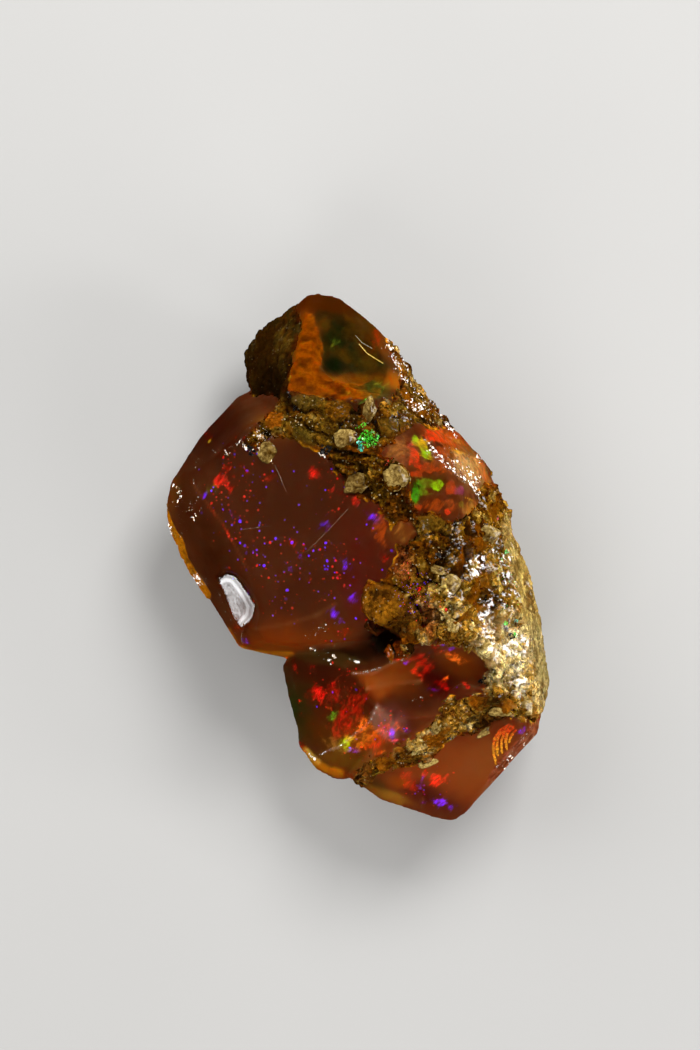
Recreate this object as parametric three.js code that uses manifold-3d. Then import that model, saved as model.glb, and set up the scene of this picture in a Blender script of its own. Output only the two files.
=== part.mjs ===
// Rough opal in its host rock, as a broken stone lies on a table with its best face up.
// Millimetres, +X across, +Y along the stone towards its peak, +Z up. z = 0 is the flat break it rests on.
//
// The stone is one solid. It is built the way it broke: convex lumps are joined, flat breaks cleave them,
// and shell-shaped chips are scooped out.
import * as THREE from "three";
import { ConvexGeometry } from "three/addons/geometries/ConvexGeometry.js";
import { mergeVertices } from "three/addons/utils/BufferGeometryUtils.js";
import Module from "manifold-3d";

const wasm = await Module();
wasm.setup();

// ---- Driving dimensions ----
const LENGTH = 75; // peak to foot
const REST_HEIGHT = 3.6; // how much of the lumps the resting break takes off
const BLOCK = 200; // side of the block that a flat break takes away
const CHIP_SEGMENTS = 40; // facets round a scooped chip

// ---- Lumps: each is the hull of its rims, as [x, y, z] ----
// The main lump carries the big face on the left and the rocky back on the right.
const MAIN_LUMP = [
  // girdle, anticlockwise from the right flank
  [26.3, -15.2, 13], [25.9, -8.6, 13], [24.6, -2.6, 13], [21.8, 3.4, 13], [19.4, 11.3, 14],
  [18.6, 13.5, 14], [14.3, 17.7, 15], [8.7, 23.8, 16], [-14.0, 24.5, 16], [-17.1, 22.8, 16.5],
  [-22.4, 16.9, 17], [-26.6, 10.5, 18.5], [-27.2, 7.6, 18.5], [-26.6, 4.4, 17.5], [-24.8, -0.4, 17],
  [-21.4, -5.2, 17], [-18.3, -10.4, 17.5], [-16.8, -12.9, 18], [-12.0, -13.8, 18.5], [-4, -14.5, 19],
  // underside
  [19, 6, 3], [9, 17, 3], [-10, 17, 2], [-20, 8, 5], [-16, -5, 4], [21, -20, 3], [6, -18, 3],
  // crown
  [12, 10, 35], [-2, 18, 36], [-14, 17, 33], [-16, 4, 33], [-10, -11, 33], [14, -12, 38], [4, -12, 38],
];
// The crown lump rises to the peak.
const PEAK_LUMP = [
  [-15.9, 25.6, 13.5], [-15.9, 29.0, 13.5], [-13.3, 32.4, 15], [-9.6, 34.2, 17], [-9.0, 35.8, 18],
  [-7.6, 37.1, 19], [-5.6, 37.6, 19.5], [-3.4, 37.3, 19.5], [-0.8, 35.3, 18.5], [2.9, 32.5, 17.5],
  [5.1, 29.9, 17], [6.9, 27.2, 16], [9.5, 23.0, 15],
  [-9, 20, 3], [3, 22, 4], [-5, 30, 9], [6, 10, 6], [-10, 10, 4],
  [-7.2, 36.2, 23.5], [-8.6, 26, 29.5], [4, 18, 31], [-2, 12, 32], [-12, 16, 28],
];
// The lobe lump is the left half of the foot.
const LOBE_LUMP = [
  [-10.6, -15.4, 18.5], [-9.7, -19.8, 17.5], [-8.9, -23.3, 17.5], [-7.5, -27.0, 17.5], [-5.6, -29.5, 17.5],
  [-3.0, -30.7, 18], [-0.6, -31.1, 18], [1.2, -32.1, 18.5], [3.1, -33.6, 19],
  [-2, -20, 4], [0, -2, 3], [6, -26, 5], [18, -2, 3], [18, -16, 4],
  [-4, -12, 30], [2, -12, 32], [3, -20, 31], [10, -22, 31], [16, -15, 34], [14, -10, 36],
];
// The foot lump is the right half and ends at the lowest point of the stone.
const FOOT_LUMP = [
  [-1.2, -31.0, 19], [3.1, -34.1, 21.5], [8.1, -35.4, 21], [11.2, -37.0, 20], [13.4, -37.4, 20],
  [15.2, -36.3, 20.5], [20.3, -30.4, 22], [25.7, -24.2, 22], [26.8, -21.4, 19], [27.2, -18.0, 13],
  [25.9, -8.6, 13],
  [20, -4, 3], [20, -20, 3], [9, -27, 3], [1, -27, 8],
  [2, -30, 25], [4, -27, 29], [12, -21, 32], [24, -22, 31], [23, -17, 32], [19, -6, 35], [13, -8, 36],
];
// Host rock left standing between the scooped face and the lowest face of the foot.
const BAND_LUMP = [
  [0.2, -31.0, 23.5], [3.5, -28.4, 26.8], [6.2, -26.6, 28.2], [9.0, -23.8, 29.6], [11.8, -21.8, 31.0],
  [16, -19.4, 32.6], [20, -18.6, 32], [23.8, -18, 27],
  [-0.4, -30.2, 20], [2.6, -27, 22], [6.6, -23.6, 25], [9.4, -20.8, 26], [14, -17.4, 29],
  [5, -30, 24], [9.5, -27.3, 26], [14, -24.6, 28], [19, -22.6, 29], [24, -21, 26],
  [3, -28, 14], [10, -22, 14], [22, -19, 12],
];

// ---- Flat breaks ----
// Each goes through the point at. Its face looks along the bearing faces (degrees anticlockwise from +X)
// and leans over by dip (0 is level, 90 is upright).
const MAIN_FACE = { at: [-13.4, 3, 28], faces: 190, dip: 20 };
const LEFT_FACE = { at: [-17.4, -1.4, 26.3], faces: 195, dip: 34 };
const SHOULDER_FACE = { at: [-20, 15.4, 26.4], faces: 136, dip: 66 };
const UNDER_LIP_FACE = { at: [-8, -12.9, 26], faces: 270, dip: 76 };
const PLATEAU = { at: [6, 2, 36.2], faces: 60, dip: 8 };
const UPPER_SLOPE = { at: [-6, 21.0, 30.0], faces: 84, dip: 34 };
const WINDOW_SLOPE = { at: [11, 9, 33.2], faces: 28, dip: 31 };
const RIGHT_FLANK = { at: [20, -4, 26.5], faces: 12, dip: 56 };
const RIGHT_EDGE = { at: [24.4, -8, 19], faces: 6, dip: 74 };
const PEAK_LEFT = { at: [-8.3, 29.9, 24.2], faces: 146, dip: 61 };
const LOBE_TOP = { at: [12, -14, 33], faces: 280, dip: 12 };
const LOBE_LEFT = { at: [-3, -21, 24.0], faces: 200, dip: 42 };
const LOBE_RAMP = { at: [2.5, -21.3, 28.6], faces: 258, dip: 46 };
const LOBE_PALE_FACE = { at: [3, -20.6, 28.8], faces: 292, dip: 26 };
const FOOT_FACE = { at: [14, -27, 26.8], faces: 265, dip: 33 };
const FOOT_BEVEL = { at: [22, -26.8, 27.4], faces: 320, dip: 76 };

// ---- Chips: ellipsoids taken away, turned about Z by turn degrees ----
const PEAK_CUP = { at: [0.8, 30.0, 26.4], radii: [8.8, 6.8, 5.8], turn: -38 };
const PEAK_NOTCH = { at: [-12.2, 35.6, 18], radii: [2.6, 2.2, 9], turn: 30 };
const LOBE_SCOOP = { at: [8.4, -17.4, 35.2], radii: [12.5, 6.0, 8.4], turn: 8 };
const SHELL = { at: [-17.2, -6.2, 29.4], radii: [3.4, 5.6, 6.4], turn: 26 };
const PIT = { at: [5.0, -10.4, 33.5], radii: [2.6, 3.6, 5.2], turn: -30 };
const WAIST = { at: [-20.2, 26.2, 18], radii: [3.2, 4.4, 14], turn: -40 };

// ---- Making ----
// A closed geometry as a manifold-3d solid.
function solidOf(geometry) {
  const bare = geometry.clone();
  bare.deleteAttribute("normal");
  bare.deleteAttribute("uv");
  const merged = mergeVertices(bare, 1e-4);
  return new wasm.Manifold(
    new wasm.Mesh({
      numProp: 3,
      vertProperties: new Float32Array(merged.attributes.position.array),
      triVerts: new Uint32Array(merged.index.array),
    }),
  );
}

function geometryOf(solid) {
  const mesh = solid.getMesh();
  return new THREE.BufferGeometry()
    .setAttribute("position", new THREE.BufferAttribute(new Float32Array(mesh.vertProperties), 3))
    .setIndex(new THREE.BufferAttribute(new Uint32Array(mesh.triVerts), 1))
    .toNonIndexed();
}

function lump(points) {
  return solidOf(new ConvexGeometry(points.map((p) => new THREE.Vector3(...p))));
}

// Takes away everything in front of a flat break.
function cleave(solid, { at, faces, dip }) {
  const block = new THREE.BoxGeometry(BLOCK, BLOCK, BLOCK).translate(0, 0, BLOCK / 2);
  block.rotateY(THREE.MathUtils.degToRad(dip)).rotateZ(THREE.MathUtils.degToRad(faces)).translate(...at);
  return solid.subtract(solidOf(block));
}

function chip(solid, { at, radii, turn }) {
  const shell = new THREE.SphereGeometry(1, CHIP_SEGMENTS, CHIP_SEGMENTS / 2).scale(...radii);
  shell.rotateZ(THREE.MathUtils.degToRad(turn)).translate(...at);
  return solid.subtract(solidOf(shell));
}

const mainBreaks = [
  MAIN_FACE, LEFT_FACE, SHOULDER_FACE, UNDER_LIP_FACE, PLATEAU, UPPER_SLOPE, WINDOW_SLOPE, RIGHT_FLANK, RIGHT_EDGE,
];
const peakBreaks = [PEAK_LEFT, UPPER_SLOPE];
const lobeBreaks = [LOBE_TOP, LOBE_LEFT, LOBE_RAMP, LOBE_PALE_FACE];
const footBreaks = [FOOT_FACE, FOOT_BEVEL, RIGHT_FLANK, RIGHT_EDGE];
const bandBreaks = [FOOT_BEVEL, RIGHT_FLANK, RIGHT_EDGE];

const main = mainBreaks.reduce(cleave, lump(MAIN_LUMP));
const peak = [PEAK_CUP, PEAK_NOTCH].reduce(chip, peakBreaks.reduce(cleave, lump(PEAK_LUMP)));
const lobe = lobeBreaks.reduce(cleave, lump(LOBE_LUMP));
const foot = footBreaks.reduce(cleave, lump(FOOT_LUMP));
const band = bandBreaks.reduce(cleave, lump(BAND_LUMP));
const lower = chip(lobe.add(foot), LOBE_SCOOP).add(band);
const chipped = [SHELL, PIT, WAIST].reduce(chip, main.add(peak).add(lower));
const rested = cleave(chipped, { at: [0, 0, REST_HEIGHT], faces: 0, dip: 180 });

// The finished stone is set down with its middle over the origin.
const stone = geometryOf(rested);
stone.computeBoundingBox();
const { min, max } = stone.boundingBox;
const scale = LENGTH / (max.y - min.y);
stone.translate(-(min.x + max.x) / 2, -(min.y + max.y) / 2, -min.z);
stone.scale(scale, scale, scale);
stone.computeVertexNormals();

const roughOpal = new THREE.Mesh(
  stone,
  new THREE.MeshStandardMaterial({ color: 0x7a3312, roughness: 0.25, metalness: 0 }),
);
roughOpal.name = "rough_opal";

const group = new THREE.Group();
group.add(roughOpal);
export default group;
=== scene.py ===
"""A lump of rough fire opal in its host rock, built round its plain solid."""

import math

import bpy
import numpy as np
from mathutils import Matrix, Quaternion, Vector
from mathutils.bvhtree import BVHTree


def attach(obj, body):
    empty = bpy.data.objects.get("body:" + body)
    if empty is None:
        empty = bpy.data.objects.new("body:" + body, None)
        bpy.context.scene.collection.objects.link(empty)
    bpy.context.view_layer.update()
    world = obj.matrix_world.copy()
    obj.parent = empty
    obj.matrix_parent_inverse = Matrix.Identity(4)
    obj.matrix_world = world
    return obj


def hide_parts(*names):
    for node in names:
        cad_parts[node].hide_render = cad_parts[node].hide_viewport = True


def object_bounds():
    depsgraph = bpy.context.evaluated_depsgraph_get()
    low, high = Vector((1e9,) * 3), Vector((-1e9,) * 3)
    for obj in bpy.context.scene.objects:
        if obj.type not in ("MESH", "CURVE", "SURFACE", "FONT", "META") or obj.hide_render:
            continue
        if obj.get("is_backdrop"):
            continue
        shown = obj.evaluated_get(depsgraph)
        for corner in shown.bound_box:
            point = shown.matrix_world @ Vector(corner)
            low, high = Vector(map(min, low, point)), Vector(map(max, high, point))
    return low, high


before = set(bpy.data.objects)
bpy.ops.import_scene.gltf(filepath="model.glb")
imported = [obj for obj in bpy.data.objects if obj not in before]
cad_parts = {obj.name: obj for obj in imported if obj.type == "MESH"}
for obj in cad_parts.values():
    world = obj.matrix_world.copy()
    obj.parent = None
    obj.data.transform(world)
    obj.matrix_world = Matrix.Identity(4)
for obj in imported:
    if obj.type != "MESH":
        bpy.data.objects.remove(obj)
CAD_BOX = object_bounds()
STONE = "rough_opal"
MM = 0.001

bl_info = {
    "name": "Rough opal",
    "version": (1, 0, 0),
    "blender": (4, 5, 0),
    "location": "3D View > Sidebar > Rough opal",
    "description": "Builds a lump of rough fire opal in its host rock round its plain solid",
    "category": "Add Mesh",
}

# ---------------------------------------------------------------- outlines, in mm, seen from above
# Windows of bare opal. An outline that runs past the stone's edge lets the opal reach that edge.
WINDOWS = {
    "main face": [
        (-13, 20.4), (-12.2, 21.9), (-15, 22.8), (-17, 25), (-27, 19), (-32, 8), (-30, -3), (-22, -14),
        (-17, -17), (-9.5, -16.5), (0, -15.5), (5.5, -13.2), (6.3, -11.8), (4.2, -10.2), (1.7, -8.8),
        (0.3, -7.4), (0.1, -5.1), (1.4, -2.9), (3.6, -2.3), (4.8, 0.5), (4.5, 3), (3.9, 5.3), (2.2, 7.1),
        (-1.8, 8.8), (-2.4, 10.7), (-3.6, 12.7), (-5, 14.6), (-9.2, 16.3), (-11.2, 16.7), (-13.4, 15.4),
        (-15.7, 14.8), (-16.5, 16), (-14.4, 18.1),
    ],
    "peak": [
        (-8.8, 39), (-7.9, 34), (-8.3, 30), (-9.1, 26.5), (-9.7, 23.4), (-6, 22.8), (-2, 22), (2, 21.8),
        (4.5, 22.3), (5.6, 24.5), (5.2, 27), (4.1, 29.8), (3.7, 31.8), (5, 34.5), (-3, 41),
    ],
    "upper right": [
        (3.8, 14.4), (5.9, 16.7), (8.3, 18.3), (11.5, 18.1), (15.5, 19), (20.5, 15), (21, 11), (18, 10.6),
        (16.8, 9.7), (17.1, 8.3), (16, 6.9), (14, 6.5), (12.5, 5.8), (11.5, 6.7), (8.1, 6.5), (7.3, 8.3),
        (7.4, 10.9), (6.6, 12.7),
    ],
    "lobe": [
        (-12, -14), (-9, -13.5), (0, -13), (5.5, -12.8), (9.4, -11.7), (12.6, -11.8), (16, -13),
        (17.1, -15), (16.7, -17.9), (15.1, -18.4), (12.6, -19), (11.1, -20.5), (11.1, -21.6),
        (9.7, -22.9), (7.6, -24.2), (4.5, -26.7), (0.8, -28.9), (0.2, -30.4), (0.4, -36), (-12, -34),
        (-15, -20),
    ],
    "foot": [
        (0.4, -36), (1.2, -31.4), (3.2, -30.3), (7.3, -29.6), (10.4, -28.6), (11.5, -27.1), (12.5, -25.6),
        (13.9, -24.6), (16.9, -24.6), (18.1, -25.1), (19.3, -23), (21, -22.6), (24.9, -23.2), (27, -22.5),
        (32, -24), (20, -42), (8, -42), (0, -38),
    ],
}
# Small round gaps in the rock: x, y and radius.
GAPS = [(6, 3.5, 1.3)]
# Places where the rock is darker or paler: x, y, half width, half height, turn, how much.
ROCK_TONES = [
    (11, 1, 5, 4, 0, -0.13), (17, -4, 4, 5, 0, -0.1), (19.8, -13.8, 4.4, 4.8, 0, 0.4),
    (11, -6.5, 3.6, 3.4, 0, 0.16), (7.5, -26.6, 7, 2.6, 33, 0.15), (2.5, 12, 4, 3, 0, 0.1),
    (14, -9.5, 3, 2, 0, 0.08), (0.5, 14, 4, 4, 0, -0.05),
]
# Slabs of fine-grained rock: outline, colour as seen on a screen, how far they stand up.
# The first stands over the pit.
SLABS = [
    ([
        (1.6, -2.8), (0.4, -4.8), (0.6, -7.8), (2.6, -8.9), (4.8, -10.3), (6.4, -11.8), (7.8, -10.8),
        (8.4, -9.4), (8.2, -7.9), (7.2, -5.7), (6.1, -4.7), (4.6, -3.9), (2.8, -3.5),
    ], (104, 62, 12), 0.75),
    ([
        (-9.4, 24.2), (-7.8, 24.5), (-6.5, 24), (-6.2, 22.9), (-4.6, 22), (-5.6, 20.7), (-7.4, 20.4),
        (-9, 21.2), (-9.7, 22.6),
    ], (84, 66, 28), 0.26),
    ([
        (-9, 19), (-7.8, 18.5), (-6.3, 17), (-5.6, 15.6), (-6.5, 14.9), (-8, 15.6), (-8.9, 17),
    ], (82, 66, 26), 0.22),
    ([
        (-4.4, 21.7), (-2.2, 21.9), (-0.8, 21), (-1.2, 19.3), (-3.4, 18.6), (-4.8, 19.8),
    ], (104, 66, 14), 0.14),
    ([(2.7, 19.2), (5.2, 18.9), (7.2, 18.2), (6.9, 17.1), (4.4, 16.8), (2.9, 17.7)], (92, 68, 24), 0.22),
    ([(8.2, 5.6), (10.2, 6), (12.2, 5.2), (11.4, 3.8), (9, 3.6)], (96, 70, 22), 0.2),
    ([(3.6, 5.8), (6.4, 5.6), (7, 4.4), (5, 4.9), (3.4, 4.6)], (92, 62, 22), 0.15),
    ([(-12.6, 20.4), (-10.2, 20.2), (-10.4, 18.2), (-12.8, 18)], (150, 84, 18), 0.2),
]
# Bare opal on the sides and underneath: x, y, z and radius.
BACK_GAPS = [
    (-16, -8, 5, 5), (12, -36, 12, 7.5), (-8, 32, 6, 5), (27, 4, 7, 4.5), (-4, 20, 0, 5.5),
    (14, -22, -1, 5.5), (2, -33, 9, 5),
]
# Pale pebbles set in the rock: x, y, half width, half length, turn in degrees, paleness.
PEBBLES = [
    (-1.7, 16.2, 1.6, 1.35, 20, 0.62), (-12.1, 14.8, 1.5, 1.5, 0, 0.36),
    (-0.2, 10.5, 1.75, 1.5, 10, 0.34), (5.3, 11.2, 1.6, 1.8, 0, 0.6), (1.4, 20.2, 0.9, 1.7, -12, 0.42),
    (17.9, 2.6, 2.1, 1.4, 25, 0.62), (12.7, -9, 0.8, 0.9, 0, 0.9), (17.2, -12.1, 1.1, 1.1, 0, 1),
    (12.4, -3.6, 1.2, 1.4, -15, 0.62), (23.3, -20.4, 1.1, 1.4, 0, 0.85),
    (19.6, -21.4, 1.5, 0.6, -8, 0.75), (10.5, -28.4, 2.1, 0.7, 27, 1.15),
    (10.7, -23.6, 0.6, 1, -30, 0.62), (17.8, -24, 1.3, 0.7, 30, 0.6), (11.1, -1.3, 1.1, 0.6, -20, 0.45),
    (20.6, -16.8, 0.7, 0.9, 0, 0.75),
]
# Soft patches of body colour, a few of them painted shadow: x, y, half width, half height, turn in degrees,
# colour as seen on a screen, strength.
TONES = [
    # the main face and the breaks on its left
    (-8, 9, 12, 8, 20, (76, 30, 13), 0.8), (-3, -4, 8, 8, 0, (82, 31, 13), 0.7),
    (-4, -9.5, 6, 2.6, 25, (104, 42, 10), 0.8), (-13, -12.5, 5, 3.2, 25, (150, 56, 6), 0.9),
    (-20, 0, 3.4, 9, 22, (64, 22, 5), 0.9), (-16.5, -10, 2.5, 3, 20, (96, 34, 6), 0.7),
    (-24.5, 8, 2.5, 5, 0, (72, 26, 6), 0.9), (-21, 18, 6, 5, 45, (52, 13, 4), 0.95),
    (-26.4, 9, 1, 3.2, -10, (120, 60, 12), 0.7), (1.5, 1, 4.5, 8, 0, (98, 24, 12), 0.8),
    (0.5, -5.5, 3, 3.5, 0, (104, 30, 20), 0.7), (-8, -11.6, 7, 1.6, 8, (136, 52, 8), 0.8),
    (-11, 18.6, 3.4, 2.2, 0, (140, 72, 16), 0.9),
    # the peak
    (-1, 29.5, 8, 7, -35, (54, 40, 10), 1), (-4, 36.2, 6, 2.6, -12, (72, 25, 1), 1.1),
    (2.4, 33, 2, 4, 42, (78, 36, 1), 1), (4.2, 30, 1.3, 3, 20, (128, 54, 8), 0.8),
    (-7.4, 29.4, 1.8, 5.2, 6, (150, 62, 1), 1.3), (-6.8, 36.4, 2.2, 1.7, 0, (84, 30, 1), 1),
    (1.6, 24.6, 6.5, 1.4, 4, (178, 84, 6), 1.1), (-4.5, 24.6, 2.2, 1.2, -20, (160, 70, 2), 1),
    (-3.4, 26.9, 1.7, 1.6, 0, (16, 20, 3), 1.1), (-3.4, 30.6, 2.2, 1.6, 20, (40, 42, 6), 0.8),
    (3.4, 23.6, 1.6, 1.4, 0, (28, 50, 12), 0.9), (0.8, 27.6, 3, 1.2, -20, (66, 62, 14), 0.7),
    (0.4, 30.8, 2.6, 1.4, -40, (34, 26, 3), 0.8), (-2, 28.6, 2.2, 0.7, -30, (112, 62, 6), 0.8),
    # the window at the upper right
    (11, 11, 8, 7, 0, (98, 38, 6), 0.9), (11, 7.6, 3.5, 1.6, 10, (86, 30, 8), 0.8),
    (5.4, 14.4, 2.4, 2.2, 20, (140, 68, 30), 1), (7.9, 9.2, 1, 1.8, 0, (36, 26, 3), 0.9),
    (10.2, 10.4, 1.6, 0.9, 0, (84, 52, 6), 0.8), (14.5, 14.6, 2.6, 2.6, 0, (150, 70, 14), 0.9),
    (16.6, 12.4, 2, 2.8, 25, (180, 108, 46), 0.9), (18.3, 11.4, 0.6, 3, 22, (196, 84, 14), 0.8),
    (12.6, 17.3, 3.4, 1.3, -12, (176, 64, 8), 0.9), (16.2, 6.6, 1.5, 1, 0, (196, 106, 20), 0.8),
    (6, 3.6, 2, 2, 0, (124, 56, 14), 1), (10, -7.6, 2, 2, 0, (128, 50, 22), 1),
    # the lobe
    (14.8, -14.6, 2.8, 2, -20, (160, 62, 6), 0.9), (-2, -20, 8, 7, 0, (84, 24, 3), 0.9),
    (-9.2, -21.5, 2.5, 6, 8, (46, 38, 8), 1), (-5, -16.4, 5, 1.9, -5, (70, 20, 6), 0.8),
    # the first patch on the next line darkens the strip under the main face's lip: painted shade
    (-3, -13.6, 7, 1.2, 0, (46, 18, 6), 1), (-4.6, -25.2, 3.4, 2.2, -30, (96, 46, 4), 0.9),
    (7, -17.8, 4, 2, 5, (140, 56, 12), 0.8), (6.4, -21.2, 4.5, 1.5, 18, (76, 22, 10), 0.9),
    (11.2, -17.4, 2.8, 2, -35, (92, 12, 6), 1), (13.4, -14.4, 2.8, 1.7, -30, (152, 66, 14), 0.9),
    (4.6, -22.8, 1.8, 1.9, 10, (140, 74, 62), 0.9), (0.6, -24.6, 2.8, 2, 40, (140, 62, 10), 1),
    (-0.5, -27.8, 3.2, 1.6, -10, (140, 78, 14), 0.9), (3.6, -26.6, 2, 1.2, 30, (156, 66, 12), 0.8),
    # the second patch on the next line and the patch after it darken the pit under the slab: painted shadow
    (-3.4, -30.4, 3.5, 0.8, -16, (160, 60, 6), 0.9), (3.4, -10.6, 2.2, 3.4, -40, (20, 8, 3), 1.3),
    (4.6, -12.2, 2.6, 1, 10, (24, 9, 3), 1.2),
    # the foot
    (14, -30, 12, 7, 0, (158, 66, 22), 1), (18, -27.6, 4.5, 3.2, 40, (166, 80, 30), 0.8),
    (20.2, -25.2, 1.6, 2.2, 0, (120, 40, 14), 0.9), (8.4, -33, 2.8, 2, 0, (104, 28, 14), 0.9),
    (2.8, -32.2, 1.9, 1.1, -30, (74, 52, 14), 0.9), (11.5, -34.6, 5.5, 2.4, -15, (84, 24, 14), 0.9),
    (22.9, -27.7, 1, 5.5, -44, (170, 100, 66), 0.9), (5.9, -31.7, 1.7, 1, -15, (172, 72, 10), 0.85),
    (4.6, -33.6, 3, 0.7, -22, (176, 106, 24), 0.8),
]
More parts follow.
